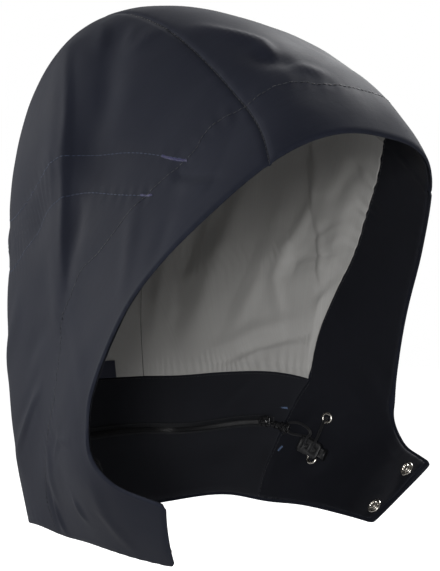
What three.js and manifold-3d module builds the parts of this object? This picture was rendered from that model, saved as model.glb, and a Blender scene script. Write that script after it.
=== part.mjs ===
// Detachable hood of a work jacket: woven shell in three panels, grey lining, navy facings,
// half a zip inside the neck, two cord locks on their drawcords, eyelets and press studs.
// Millimetres. +Z is up, the face opening looks along -Y, the wearer's right is -X.
// The origin is the seat of the head: just under the lining at the top of the crown.
import * as THREE from 'three';
import { mergeVertices } from 'three/addons/utils/BufferGeometryUtils.js';
import Module from 'manifold-3d';

const wasm = await Module();
wasm.setup();

// Overall sizes of the hood as it is worn
const hoodDepth = 325;        // from the peak to the furthest point of the back
const hoodHeight = 370;       // from the nape hem to the top of the crown
const cheekWidth = 266;       // across the widest part of the face opening
const panelFrontHalf = 79;    // half the centre panel's width at the face edge
const panelNapeHalf = 53;     // half the centre panel's width at the nape hem

// Cloth layers, counted inwards from the outer face
const shellWall = 1.2;
const layerGap = 2.2;         // air between the shell and what lines it
const edgeGap = 1.2;          // the same along the face edge, the flaps' ends and the hem
const edgeReach = 20;         // how far inside those edges it has widened to the full gap
const liningWall = 1.0;
const seamGap = 0.5;          // between two pieces that are sewn edge to edge
const cornerGap = 4;          // the lining's sharp corner is cut this short
const trimGap = 0.3;          // under a part that lies on the facing
const seatGap = 0.3;
const edgeInset = 1.2;        // the facings stop this far inside the hem and the face edge

// Zip half sewn inside the neck
const zipTapeWidth = 10;
const zipTapeWall = 0.7;
const tapeGap = 0.8;          // the tape lies over the facing's own bends
const zipCoilWidth = 3.4;
const zipCoilHeight = 1.5;
const zipCoilOffset = 1.2;    // from the tape's middle towards the hem
const sliderLength = 11;
const sliderWidth = 8;
const sliderHeight = 3.6;
const pullLength = 17;
const pullWidth = 6;
const pullWall = 1.6;
const pullEyeFromEnd = 3;     // the eye that the cord's loop goes through
const pullDip = 0.2;          // radians its tip hangs below the slider

// Eyelets, studs and label
const eyeletRadius = 4.6;
const eyeletHoleRadius = 2.3;
const eyeletBarrelWall = 0.6;
const eyeletRise = 1.1;
const studRadius = 5.3;
const studHeight = 2.8;
const studPostRadius = 1.8;
const labelWidth = 58;
const labelHeight = 15;
const labelWall = 0.8;
const labelGap = 1.6;         // the label lies over the lining's own bends

// Drawcord and its lock
const cordDiameter = 2.0;
const lockLength = 18;
const lockWidth = 12.5;
const lockThickness = 7.5;
const lockHolePitch = 7;
const lockWallMin = 1.5;
const lockSideWall = 2.8;     // beside the plunger
const lockCorner = 3;
const lockBevel = 0.6;
const pressTravel = 2.5;
const plungerHeadRadius = 4.4;
const plungerHeadThickness = 2.2;
const slideGap = 0.3;
const cordPlay = 0.5;         // round the cord in the lock, the pull and the plunger

// Mesh density
const rowsDown = 18;          // from the face edge to the hem
const columnsCentre = 6;      // across the centre panel

// The centre line from the peak over the crown to the nape hem. at: place along the line;
// back: share of the depth behind the peak; up: share of the height above the nape hem.
const centreLine = [
  { at: 0.00, back: 0.000, up: 0.687 },
  { at: 0.14, back: 0.091, up: 0.805 },
  { at: 0.30, back: 0.389, up: 0.963 },
  { at: 0.48, back: 0.737, up: 0.961 },
  { at: 0.66, back: 0.988, up: 0.659 },
  { at: 0.83, back: 0.999, up: 0.324 },
  { at: 1.00, back: 0.902, up: 0.000 },
];

// The face edge seen from the side, from the flap's upper corner to the peak
const faceEdge = [
  { at: 0.00, back: 0.160, up: 0.154 },
  { at: 0.06, back: 0.214, up: 0.165 },
  { at: 0.115, back: 0.258, up: 0.179 },
  { at: 0.17, back: 0.296, up: 0.213 },
  { at: 0.24, back: 0.305, up: 0.261 },
  { at: 0.34, back: 0.289, up: 0.325 },
  { at: 0.50, back: 0.238, up: 0.434 },
  { at: 0.68, back: 0.157, up: 0.533 },
  { at: 0.84, back: 0.074, up: 0.620 },
  { at: 1.00, back: 0.000, up: 0.687 },
];

// The neck hem seen from the side, from the flap's lower corner to the nape
const neckHem = [
  { at: 0.00, back: 0.248, up: 0.039 },
  { at: 0.22, back: 0.387, up: 0.039 },
  { at: 0.38, back: 0.490, up: 0.039 },
  { at: 0.58, back: 0.610, up: 0.033 },
  { at: 0.72, back: 0.711, up: 0.033 },
  { at: 1.00, back: 0.902, up: 0.000 },
];

// Half widths of the side walls as shares of half the cheek width, in rows from the hem up,
// at four depths: at the flap, the cheek, the ear and the back
const wallDepths = { flap: 0.148, cheek: 0.332, ear: 0.563, rear: 0.902 };
const wallWidths = [
  { up: 0.027, flap: 0.550, cheek: 0.656, ear: 0.703, rear: 0.825 },
  { up: 0.189, flap: 0.907, cheek: 0.967, ear: 0.827, rear: 0.805 },
  { up: 0.365, flap: 1.027, cheek: 0.955, ear: 0.821, rear: 0.772 },
  { up: 0.554, flap: 0.853, cheek: 0.856, ear: 0.876, rear: 0.783 },
  { up: 0.770, flap: 0.720, cheek: 0.835, ear: 0.941, rear: 0.844 },
  { up: 0.973, flap: 0.821, cheek: 0.968, ear: 1.008, rear: 0.900 },
];

const cheekShare = 0.45;      // of an arch's rise, below which the centre line isn't felt

// How square the arch over the head is: 2 is an ellipse, more is squarer
const archSquareness = [
  { at: 0.0, power: 2.8 },
  { at: 0.1, power: 2.6 },
  { at: 0.3, power: 2.7 },
  { at: 0.6, power: 3.5 },
  { at: 1.0, power: 3.5 },
];

// Places on the hood are given as across, 0 at the centre line, panelSeam at the panel seam and
// 1 at the flap's front end, and down, 0 at the face edge and 1 at the neck hem.
const panelSeam = 0.2;

// The facing's inner edge from the neck seam over the temple to the centre line, and the place
// on the face edge that each of its corners is joined to across the facing's width
const facingRungs = [
  { edge: 0.80, across: 0.700, down: 0.605 },
  { edge: 0.76, across: 0.693, down: 0.555 },
  { edge: 0.70, across: 0.675, down: 0.475 },
  { edge: 0.62, across: 0.636, down: 0.378 },
  { edge: 0.53, across: 0.568, down: 0.294 },
  { edge: 0.44, across: 0.488, down: 0.238 },
  { edge: 0.35, across: 0.395, down: 0.199 },
  { edge: 0.27, across: 0.305, down: 0.170 },
  { edge: 0.18, across: 0.200, down: 0.148 },
  { edge: 0.09, across: 0.100, down: 0.118 },
  { edge: 0.00, across: 0.000, down: 0.098 },
];
const liningCorner = facingRungs[0];
const facingHemAcross = 0.565;   // where the facing's inner edge meets the neck hem
const neckEdgeBow = 0.012;       // how far that edge bows forward between the two

// The seam between the lining and the neck facing
const neckSeam = [
  { across: 0.000, down: 0.848 },
  { across: 0.200, down: 0.845 },
  { across: 0.317, down: 0.833 },
  { across: 0.448, down: 0.792 },
  { across: 0.560, down: 0.730 },
  { across: 0.665, down: 0.640 },
  { across: 0.700, down: 0.605 },
];

// The zip's line on the neck facing. along: share of the way from the nape to the facing;
// drop: share of the way from the neck seam to the hem
const zipLine = [
  { along: 0.000, drop: 0.42 },
  { along: 0.286, drop: 0.42 },
  { along: 0.620, drop: 0.49 },
  { along: 0.800, drop: 0.485 },
  { along: 1.000, drop: 0.52 },
];
const zipEndAlong = 0.955;
const sliderAlong = 0.915;

// Main folds of the shell: from and to are places on it, reach is the fold's half width and rise
// its height, outwards when positive, both as shares of the half cheek width
const shellFolds = [
  { from: [0.29, 0.40], to: [0.46, 0.405], reach: 0.11, rise: 0.024 },
  { from: [0.46, 0.405], to: [0.64, 0.47], reach: 0.11, rise: 0.022 },
  { from: [0.25, 0.33], to: [0.42, 0.34], reach: 0.10, rise: -0.020 },
  { from: [0.57, 0.77], to: [0.42, 0.91], reach: 0.10, rise: 0.016 },
  { from: [0.80, 0.26], to: [0.74, 0.72], reach: 0.14, rise: -0.012 },
  { from: [0.10, 0.10], to: [0.02, 0.20], reach: 0.12, rise: -0.012 },
];
const channelLine = [0.18, 0.30, 0.40, 0.52, 0.66];   // down along the rear adjuster's channel
const channelAcross = [0.36, 0.44, 0.48, 0.50, 0.30];
const channelReach = 0.12;
const channelRise = -0.012;

// Natural cubic curve through rows, for one column of numbers
function cubic(xs, ys) {
  const n = xs.length;
  const lower = new Array(n).fill(0);
  const bend = new Array(n).fill(0);
  for (let i = 1; i < n - 1; i += 1) {
    const h0 = xs[i] - xs[i - 1];
    const h1 = xs[i + 1] - xs[i];
    const slope = (ys[i + 1] - ys[i]) / h1 - (ys[i] - ys[i - 1]) / h0;
    const pivot = 2 * (h0 + h1) - h0 * lower[i - 1];
    lower[i] = h1 / pivot;
    bend[i] = (6 * slope - h0 * bend[i - 1]) / pivot;
  }
  for (let i = n - 2; i > 0; i -= 1) bend[i] -= lower[i] * bend[i + 1];
  bend[0] = 0;
  bend[n - 1] = 0;
  return (x) => {
    const q = Math.min(Math.max(x, xs[0]), xs[n - 1]);
    let i = 0;
    while (i < n - 2 && q > xs[i + 1]) i += 1;
    const h = xs[i + 1] - xs[i];
    const a = (xs[i + 1] - q) / h;
    const b = (q - xs[i]) / h;
    const curve = ((a ** 3 - a) * bend[i] + (b ** 3 - b) * bend[i + 1]) * h * h / 6;
    return a * ys[i] + b * ys[i + 1] + curve;
  };
}

function column(rows, key, by = 'at') {
  return cubic(rows.map((row) => row[by]), rows.map((row) => row[key]));
}

function straight(rows, key, by, x) {
  let i = 0;
  while (i < rows.length - 2 && (rows[i + 1][by] - x) * (rows[0][by] - x) > 0) i += 1;
  const t = (x - rows[i][by]) / (rows[i + 1][by] - rows[i][by]);
  return rows[i][key] + t * (rows[i + 1][key] - rows[i][key]);
}

// The hood's form: a fan of arches that spread from the flaps' front ends over the head
const centre = { back: column(centreLine, 'back'), up: column(centreLine, 'up') };
const edge = { back: column(faceEdge, 'back'), up: column(faceEdge, 'up') };
const hem = { back: column(neckHem, 'back'), up: column(neckHem, 'up') };
const power = column(archSquareness, 'power');
const depthNames = Object.keys(wallDepths);
const wallColumns = depthNames.map((name) => column(wallWidths, name, 'up'));
const depthWeights = depthNames.map((_, k) => cubic(
  depthNames.map((name) => wallDepths[name]),
  depthNames.map((__, j) => (j === k ? 1 : 0)),
));

// The side view of the place a share u of the way up an arch: the face edge and the hem carry it
// across the hood, and the centre line's own curve is felt only above the cheeks
function sidePlace(u, v, key) {
  const t = Math.min(u / cheekShare, 1);
  const pull = u * t * t * (3 - 2 * t);
  const across = (1 - v) * edge[key](u) + v * hem[key](u);
  const chord = (1 - v) * centreLine[0][key] + v * centreLine[centreLine.length - 1][key];
  return across + pull * (centre[key](v) - chord);
}

function archPoint(angle, v) {
  const n = power(v);
  const rise = Math.sin(angle) ** (2 / n);
  const spread = Math.max(Math.cos(angle), 0) ** (2 / n);
  const back = sidePlace(rise, v, 'back');
  const up = sidePlace(rise, v, 'up');
  const share = depthWeights.reduce((sum, weight, k) => sum + weight(back) * wallColumns[k](up), 0);
  return new THREE.Vector3(share * spread * cheekWidth / 2, back * hoodDepth, up * hoodHeight);
}

const archSteps = 90;
const archCache = new Map();
function arch(v) {
  const key = Math.round(v * 1e6);
  if (!archCache.has(key)) {
    const points = [];
    const lengths = [0];
    for (let i = 0; i <= archSteps; i += 1) {
      points.push(archPoint((Math.PI / 2) * (i / archSteps), v));
      if (i) lengths.push(lengths[i - 1] + points[i].distanceTo(points[i - 1]));
    }
    archCache.set(key, { points, lengths, total: lengths[archSteps] });
  }
  return archCache.get(key);
}

// The highest point of the centre line fixes the origin, which lies under the lining there
function crownTop() {
  let best = archPoint(Math.PI / 2, 0);
  const steps = 400;
  for (let i = 1; i <= steps; i += 1) {
    const point = archPoint(Math.PI / 2, i / steps);
    if (point.z > best.z) best = point;
  }
  return best;
}
const crown = crownTop();
const seatDepth = shellWall + layerGap + liningWall + seatGap;
const originShift = new THREE.Vector3(0, -crown.y, -(crown.z - seatDepth));

// A place on the smooth outer face, folds left out; across runs from -1, the wearer's right flap,
// to 1, the left one
function smoothSkin(across, down) {
  const v = Math.min(Math.max(down, 0), 1);
  const side = Math.sign(across) || 1;
  const c = Math.min(Math.abs(across), 1);
  const { points, lengths, total } = arch(v);
  const half = panelFrontHalf + (panelNapeHalf - panelFrontHalf) * v;
  const fromCentre = c < panelSeam
    ? half * (c / panelSeam)
    : half + (total - half) * ((c - panelSeam) / (1 - panelSeam));
  const want = Math.max(total - fromCentre, 0);
  let i = 1;
  while (i < archSteps && lengths[i] < want) i += 1;
  const t = (want - lengths[i - 1]) / (lengths[i] - lengths[i - 1]);
  const point = points[i - 1].clone().lerp(points[i], t);
  point.x *= side;
  return point.add(originShift);
}

function smoothNormal(across, down) {
  const step = 0.004;
  const a0 = Math.max(across - step, -1);
  const a1 = Math.min(across + step, 1);
  const d0 = Math.max(down - step, 0);
  const d1 = Math.min(down + step, 1);
  const alongAcross = smoothSkin(a1, down).sub(smoothSkin(a0, down));
  const alongDown = smoothSkin(across, d1).sub(smoothSkin(across, d0));
  return alongDown.cross(alongAcross).normalize().negate();
}

function segmentDistance(point, a, b) {
  const run = b.clone().sub(a);
  const t = Math.min(Math.max(point.clone().sub(a).dot(run) / run.lengthSq(), 0), 1);
  return { away: point.distanceTo(a.clone().addScaledVector(run, t)), t };
}

function creases(side) {
  const halfWidth = cheekWidth / 2;
  const lines = shellFolds.map((fold) => ({
    a: smoothSkin(side * fold.from[0], fold.from[1]),
    b: smoothSkin(side * fold.to[0], fold.to[1]),
    reach: fold.reach * halfWidth,
    rise: fold.rise * halfWidth,
  }));
  for (let i = 1; i < channelLine.length; i += 1) {
    lines.push({
      a: smoothSkin(side * channelAcross[i - 1], channelLine[i - 1]),
      b: smoothSkin(side * channelAcross[i], channelLine[i]),
      reach: channelReach * halfWidth,
      rise: channelRise * halfWidth,
    });
  }
  return lines;
}
const creaseLines = { '-1': creases(-1), 1: creases(1) };

function foldRise(point, across) {
  const lines = creaseLines[across < 0 ? '-1' : '1'];
  return lines.reduce((sum, line) => {
    const { away } = segmentDistance(point, line.a, line.b);
    return sum + line.rise * Math.exp(-((away / line.reach) ** 2));
  }, 0);
}

// How much closer to the shell its lining lies near the hood's edges
function edgeCloseness(point, across, down) {
  const away = Math.min(
    point.distanceTo(smoothSkin(across, 0)),
    point.distanceTo(smoothSkin(across, 1)),
    point.distanceTo(smoothSkin(Math.sign(across) || 1, down)),
  );
  return (layerGap - edgeGap) * Math.max(1 - away / edgeReach, 0);
}

// A place at a depth inside the outer face, with the shell's folds; what lies inside the shell
// gives way to its dents but doesn't follow its ridges
function cloth(across, down, depth) {
  const point = smoothSkin(across, down);
  const normal = smoothNormal(across, down);
  const rise = foldRise(point, across);
  const inside = depth > shellWall;
  const taken = inside ? Math.min(rise, 0) + edgeCloseness(point, across, down) : rise;
  return point.clone().addScaledVector(normal, taken - depth);
}

// A cloth wall from one or more grids of places that share their common corners, closed round
// its rim. Each quad is split along the diagonal that lies nearer the cloth.
function wall(grids, outerDepth, thickness) {
  const places = [];
  const known = new Map();
  const corner = (place) => {
    const key = place.map((value) => Math.round(value * 1e6)).join();
    if (!known.has(key)) {
      known.set(key, places.length);
      places.push(place);
    }
    return known.get(key);
  };
  const middle = (places1, depth) => {
    const sum = places1.reduce((t, [a, d]) => [t[0] + a, t[1] + d], [0, 0]);
    return cloth(sum[0] / places1.length, sum[1] / places1.length, depth);
  };
  const triangles = [];
  const addTriangle = (...three) => {
    const [a, b, c] = three.map((k) => places[k]);
    const turn = (b[0] - a[0]) * (c[1] - a[1]) - (b[1] - a[1]) * (c[0] - a[0]);
    triangles.push(turn > 0 ? three : three.reverse());
  };
  grids.forEach((grid) => {
    for (let i = 0; i < grid.length - 1; i += 1) {
      for (let j = 0; j < grid[i].length - 1; j += 1) {
        const quad = [grid[i][j], grid[i][j + 1], grid[i + 1][j + 1], grid[i + 1][j]];
        const [a, b, c, d] = quad.map(corner);
        const heart = middle(quad, outerDepth);
        const corners = quad.map(([across, down]) => cloth(across, down, outerDepth));
        const away = (m, n) => corners[m].clone().add(corners[n]).multiplyScalar(0.5).distanceTo(heart);
        const [first, second] = away(0, 2) <= away(1, 3) ? [[a, b, c], [a, c, d]] : [[a, b, d], [b, c, d]];
        addTriangle(...first);
        addTriangle(...second);
      }
    }
  });
  const positions = [outerDepth, outerDepth + thickness].flatMap((depth) => (
    places.flatMap(([across, down]) => cloth(across, down, depth).toArray())
  ));
  const inner = places.length;
  const edges = new Set();
  triangles.forEach(([a, b, c]) => [[a, b], [b, c], [c, a]].forEach((pair) => edges.add(pair.join())));
  const faces = [];
  triangles.forEach(([a, b, c]) => {
    faces.push(a, b, c, inner + a, inner + c, inner + b);
    [[a, b], [b, c], [c, a]].forEach(([m, n]) => {
      if (!edges.has([n, m].join())) faces.push(n, m, inner + m, n, inner + m, inner + n);
    });
  });
  const geometry = new THREE.BufferGeometry();
  geometry.setAttribute('position', new THREE.Float32BufferAttribute(positions, 3));
  geometry.setIndex(faces);
  return outwards(geometry);
}

function volume(geometry) {
  const p = geometry.getAttribute('position');
  const index = geometry.getIndex();
  const [a, b, c] = [new THREE.Vector3(), new THREE.Vector3(), new THREE.Vector3()];
  let sum = 0;
  for (let i = 0; i < index.count; i += 3) {
    a.fromBufferAttribute(p, index.getX(i));
    b.fromBufferAttribute(p, index.getX(i + 1));
    c.fromBufferAttribute(p, index.getX(i + 2));
    sum += a.dot(b.cross(c)) / 6;
  }
  return sum;
}

function outwards(geometry) {
  if (volume(geometry) < 0) {
    const index = geometry.getIndex();
    for (let i = 0; i < index.count; i += 3) {
      const second = index.getX(i + 1);
      index.setX(i + 1, index.getX(i + 2));
      index.setX(i + 2, second);
    }
  }
  return geometry;
}

function range(count, from = 0, to = 1) {
  return Array.from({ length: count + 1 }, (_, i) => from + (to - from) * (i / count));
}

// Gaps in millimetres as steps of across and down
function acrossStep(down, gap) {
  const { total } = arch(down);
  const half = panelFrontHalf + (panelNapeHalf - panelFrontHalf) * down;
  return gap * (1 - panelSeam) / (total - half);
}

function downStep(across, down, gap) {
  const step = 0.01;
  const d0 = Math.max(down - step, 0);
  const d1 = Math.min(down + step, 1);
  return gap * (d1 - d0) / smoothSkin(across, d1).distanceTo(smoothSkin(across, d0));
}

function piece(name, geometry, finish) {
  const mesh = new THREE.Mesh(geometry, new THREE.MeshStandardMaterial(finish));
  mesh.name = name;
  return mesh;
}

const navyCloth = { color: 0x30363f, roughness: 0.8, metalness: 0 };
const navyFacing = { color: 0x1b1f2a, roughness: 0.85, metalness: 0 };
const greyLining = { color: 0x8d8a86, roughness: 0.75, metalness: 0 };
const labelCloth = { color: 0x10162c, roughness: 0.7, metalness: 0 };
const blackPlastic = { color: 0x17181a, roughness: 0.45, metalness: 0 };
const greyPlastic = { color: 0x3a3b3e, roughness: 0.5, metalness: 0 };
const nickel = { color: 0xc9c6c0, roughness: 0.25, metalness: 1 };
const blackCord = { color: 0x1c1c1f, roughness: 0.9, metalness: 0 };

// Columns that the shell's side panels share with the facing inside them
const flapShares = [0, 0.15, 0.32, 0.52, 0.76, 1];
const stepsPerRung = 2;
const between = (a, b, t) => a + (b - a) * t;
const rungLine = facingRungs.slice(0, -1).flatMap((a, k) => range(stepsPerRung).slice(0, -1).map((t) => {
  const b = facingRungs[k + 1];
  return [between(a.edge, b.edge, t), between(a.across, b.across, t), between(a.down, b.down, t)];
}));
const sideColumns = [
  ...flapShares.slice(1).reverse().map((share) => between(liningCorner.edge, 1, share)),
  ...rungLine.map(([edgeAcross]) => edgeAcross).filter((across) => across > panelSeam + 0.01),
];

// Shell: two side panels and the centre panel between them
function sidePanelGrid(side) {
  return range(rowsDown).map((down) => {
    const seam = panelSeam + acrossStep(down, seamGap / 2);
    return [...sideColumns, seam].map((across) => [side * across, down]);
  });
}

function centrePanelGrid() {
  return range(rowsDown).map((down) => {
    const half = panelFrontHalf + (panelNapeHalf - panelFrontHalf) * down;
    const seam = panelSeam * (1 - seamGap / 2 / half);
    return range(columnsCentre, -seam, seam).map((across) => [across, down]);
  });
}

// The pieces inside the shell meet along seams whose corners they share
const neckRows = 3;
const facingColumns = 5;
const liningStations = rungLine.map(([, across]) => across);
const sideStations = liningStations.filter((across) => across > panelSeam + 1e-6);
const centreStations = [panelSeam, ...liningStations.filter((across) => across < panelSeam - 1e-6), 0];
const bothSides = (half) => [...half.map((across) => -across), ...half.slice(0, -1).reverse()];

// The facings stop short of the hem and of the face edge
function inset([across, down]) {
  const d = Math.min(Math.max(down, downStep(across, 0, edgeInset)), 1 - downStep(across, 1, edgeInset));
  const a = Math.min(Math.abs(across), 1 - acrossStep(d, edgeInset));
  return [Math.sign(across) * a, d];
}

// Front facing: a strip over the brow and temples that widens into the flaps
function facingBrow() {
  const last = facingRungs[facingRungs.length - 1];
  const rungs = [
    ...rungLine,
    [last.edge, last.across, last.down],
    ...rungLine.map(([edgeAcross, across, down]) => [-edgeAcross, -across, down]).reverse(),
  ];
  return rungs.map(([edgeAcross, across, down]) => (
    range(facingColumns).map((q) => inset([between(edgeAcross, across, q), down * q]))
  ));
}

function neckEdge(drop) {
  return between(liningCorner.across, facingHemAcross, drop) + 4 * neckEdgeBow * drop * (1 - drop);
}

function facingFlap(side) {
  const rows = [
    ...range(facingColumns).map((q) => [between(liningCorner.edge, liningCorner.across, q), liningCorner.down * q]),
    ...range(neckRows).slice(1).map((drop) => [neckEdge(drop), between(liningCorner.down, 1, drop)]),
  ];
  return rows.map(([across, down]) => (
    flapShares.map((share) => inset([side * between(across, 1, share), down]))
  ));
}

// Lining: side panels that narrow to the corner where the facing and the neck seam meet
const liningRows = 7;
const facingDown = (across) => straight(facingRungs, 'down', 'across', Math.abs(across));
const neckDown = (across) => straight(neckSeam, 'down', 'across', Math.abs(across));

function liningSpan(across) {
  const top = facingDown(across);
  const bottom = neckDown(across);
  return range(liningRows, top + downStep(across, top, 3 * seamGap), bottom - downStep(across, bottom, seamGap));
}

function liningSideGrid(side) {
  const seam = panelSeam + acrossStep(facingDown(panelSeam), seamGap);
  const tip = liningCorner.across - acrossStep(liningCorner.down, cornerGap);
  const inner = sideStations.filter((across) => across < tip - 0.004);
  return [tip, ...inner, seam].map((across) => (
    liningSpan(across).map((down) => [side * across, down])
  ));
}

function liningCentreGrid() {
  const seam = panelSeam * (1 - seamGap / panelNapeHalf);
  return bothSides([seam, ...centreStations.slice(1)]).map((across) => (
    liningSpan(across).map((down) => [across, down])
  ));
}

// Neck facing: from the lining down to the hem, round the nape between the front facings
function neckPlace(along, drop) {
  const across = along * neckEdge(drop);
  return [across, between(neckDown(along * liningCorner.across), 1, drop)];
}

function neckFacingGrid() {
  return bothSides([...sideStations, ...centreStations]).map((across) => {
    const top = downStep(across, neckDown(across), seamGap / 2);
    const side = acrossStep(neckDown(across), seamGap * 2) / liningCorner.across;
    return range(neckRows).map((drop) => {
      const [a, d] = neckPlace((across / liningCorner.across) * (1 - side), drop);
      return inset([a, d + top * (1 - drop)]);
    });
  });
}

// Frames for the parts that lie on the inner face of the cloth
const innerFace = shellWall + layerGap + liningWall;
function seat(across, down, lift) {
  const inward = smoothNormal(across, down).negate();
  const origin = cloth(across, down, innerFace + lift);
  const upward = new THREE.Vector3(0, 0, 1);
  upward.addScaledVector(inward, -upward.dot(inward)).normalize();
  const forward = new THREE.Vector3().crossVectors(upward, inward).normalize();
  if (forward.y > 0) forward.negate();
  return { origin, inward, upward, forward };
}

// The same, but lifted clear of a faceted face: the highest of a ring of places under the part
function seatOn(geometry, across, down, radius, gap) {
  const frame = seat(across, down, 0);
  const third = new THREE.Vector3().crossVectors(frame.inward, frame.forward);
  const heights = range(3).flatMap((share) => range(12).map((turn) => {
    const start = frame.origin.clone();
    start.addScaledVector(frame.forward, share * radius * Math.cos(turn * 2 * Math.PI));
    start.addScaledVector(third, share * radius * Math.sin(turn * 2 * Math.PI));
    return highestHit(geometry, start, frame.inward);
  }));
  frame.origin.addScaledVector(frame.inward, Math.max(...heights) + gap);
  return frame;
}

// How far along a direction a line through a place last leaves a mesh
function highestHit(geometry, start, direction) {
  const p = geometry.getAttribute('position');
  const index = geometry.getIndex();
  const corners = [new THREE.Vector3(), new THREE.Vector3(), new THREE.Vector3()];
  const reach = 20;
  const ray = new THREE.Ray(start.clone().addScaledVector(direction, -reach), direction);
  const hit = new THREE.Vector3();
  let best = -reach;
  for (let i = 0; i < index.count; i += 3) {
    corners.forEach((corner, k) => corner.fromBufferAttribute(p, index.getX(i + k)));
    if (ray.intersectTriangle(...corners, false, hit)) {
      const height = hit.sub(start).dot(direction);
      if (Math.abs(height) < reach) best = Math.max(best, height);
    }
  }
  return best;
}

function placed(geometry, frame) {
  const third = new THREE.Vector3().crossVectors(frame.inward, frame.forward);
  const matrix = new THREE.Matrix4().makeBasis(frame.forward, third, frame.inward);
  matrix.setPosition(frame.origin);
  return geometry.applyMatrix4(matrix);
}

// A profile of [radius, height] turned about the seat's normal
function turned(profile, segments = 10) {
  const points = profile.map(([radius, height]) => new THREE.Vector2(radius, height));
  const lathe = new THREE.LatheGeometry(points, segments);
  lathe.rotateX(Math.PI / 2);
  return tidy(lathe);
}

function tidy(geometry) {
  const bare = geometry.index ? geometry.toNonIndexed() : geometry;
  bare.deleteAttribute('normal');
  bare.deleteAttribute('uv');
  const merged = mergeVertices(bare, 1e-4);
  const index = merged.getIndex();
  const kept = [];
  for (let i = 0; i < index.count; i += 3) {
    const [a, b, c] = [index.getX(i), index.getX(i + 1), index.getX(i + 2)];
    if (a !== b && b !== c && a !== c) kept.push(a, b, c);
  }
  merged.setIndex(kept);
  return outwards(merged);
}

function solidOf(geometry) {
  const g = tidy(geometry);
  return new wasm.Manifold(new wasm.Mesh({
    numProp: 3,
    vertProperties: new Float32Array(g.getAttribute('position').array),
    triVerts: new Uint32Array(g.getIndex().array),
  }));
}

function geometryOf(solid) {
  const mesh = solid.getMesh();
  const geometry = new THREE.BufferGeometry();
  const count = mesh.vertProperties.length / mesh.numProp;
  const positions = new Float32Array(count * 3);
  for (let i = 0; i < count; i += 1) {
    for (let k = 0; k < 3; k += 1) positions[i * 3 + k] = mesh.vertProperties[i * mesh.numProp + k];
  }
  geometry.setAttribute('position', new THREE.BufferAttribute(positions, 3));
  geometry.setIndex(Array.from(mesh.triVerts));
  return outwards(mergeVertices(geometry, 1e-5));
}

const liningDepth = shellWall + layerGap;
const facingCloth = wall([facingBrow(), facingFlap(-1), facingFlap(1)], liningDepth, liningWall);

// Eyelets of the drawcord on each cheek, upper and lower
const eyeletPlaces = {
  upper: [0.760, 0.652],
  lower: [0.737, 0.849],
};
const eyeletBarrelRadius = eyeletHoleRadius + eyeletBarrelWall;

function eyelet(side, [across, down]) {
  const frame = seatOn(facingCloth, side * across, down, eyeletRadius, trimGap);
  const profile = [
    [eyeletHoleRadius, -liningWall - trimGap],
    [eyeletBarrelRadius, -liningWall - trimGap],
    [eyeletBarrelRadius, 0],
    [eyeletRadius - 0.3, 0],
    [eyeletRadius, 0.3],
    [eyeletHoleRadius + 0.9, eyeletRise],
    [eyeletHoleRadius, eyeletRise * 0.7],
    [eyeletHoleRadius, -liningWall - trimGap],
  ];
  return placed(turned(profile), frame);
}

function withEyeletHoles(geometry) {
  let solid = solidOf(geometry);
  [-1, 1].forEach((side) => Object.values(eyeletPlaces).forEach(([across, down]) => {
    const reach = liningWall * 4;
    const drill = new THREE.CylinderGeometry(
      eyeletBarrelRadius + slideGap, eyeletBarrelRadius + slideGap, reach, 12,
    );
    drill.rotateX(Math.PI / 2);
    const cutter = placed(drill, seat(side * across, down, -liningWall / 2));
    solid = solid.subtract(solidOf(cutter));
  }));
  return geometryOf(solid);
}

// Press studs on the flaps' inner face
const studPlaces = {
  upper: [0.972, 0.235],
  lower: [0.977, 0.810],
};

function stud(side, [across, down]) {
  const rim = studRadius - 0.5;
  const profile = [
    [0, 0],
    [rim, 0],
    [studRadius, 0.5],
    [rim, 1.1],
    [studPostRadius + 0.5, 0.7],
    [studPostRadius - 0.3, studHeight * 0.6],
    [studPostRadius, studHeight * 0.85],
    [studPostRadius - 0.3, studHeight],
    [0, studHeight],
  ];
  return placed(turned(profile), seatOn(facingCloth, side * across, down, studRadius, trimGap));
}

const cordHoleRadius = cordDiameter / 2 + cordPlay;

// Zip: tape and coil follow the neck facing, the slider and its pull lie near the left end
const zipDrop = column(zipLine, 'drop', 'along');

function zipStrip(width, lift, thickness, offset = 0) {
  const alongs = [...sideStations, ...centreStations].map((across) => across / liningCorner.across);
  const half = [zipEndAlong, ...alongs.filter((along) => along < zipEndAlong - 0.01)];
  const grid = bothSides(half).map((along) => {
    const [across, down] = neckPlace(along, zipDrop(Math.abs(along)));
    const reach = downStep(across, down, width / 2);
    const shift = downStep(across, down, offset);
    return [[across, down + shift - reach], [across, down + shift + reach]];
  });
  return wall([grid], innerFace + lift, thickness);
}

function zipSeat(lift) {
  const [across, down] = neckPlace(sliderAlong, zipDrop(sliderAlong));
  return seat(across, down, lift);
}

const sliderLift = tapeGap + zipTapeWall + zipCoilHeight + seatGap * 2;
function zipSlider() {
  const frame = zipSeat(sliderLift);
  const outline = new THREE.Shape();
  outline.moveTo(-sliderLength / 2, -sliderWidth * 0.3);
  outline.lineTo(sliderLength * 0.2, -sliderWidth / 2);
  outline.lineTo(sliderLength / 2, -sliderWidth * 0.42);
  outline.lineTo(sliderLength / 2, sliderWidth * 0.42);
  outline.lineTo(sliderLength * 0.2, sliderWidth / 2);
  outline.lineTo(-sliderLength / 2, sliderWidth * 0.3);
  outline.closePath();
  const body = new THREE.ExtrudeGeometry(outline, {
    depth: sliderHeight * 0.4, bevelEnabled: true, bevelSize: 0.3, bevelThickness: 0.3, bevelSegments: 1, steps: 1,
  });
  const bridge = new THREE.BoxGeometry(sliderLength * 0.6, sliderWidth * 0.28, sliderHeight * 0.5);
  bridge.translate(0, 0, sliderHeight * 0.6);
  const solid = solidOf(body).add(solidOf(bridge));
  return placed(geometryOf(solid), frame);
}

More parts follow.
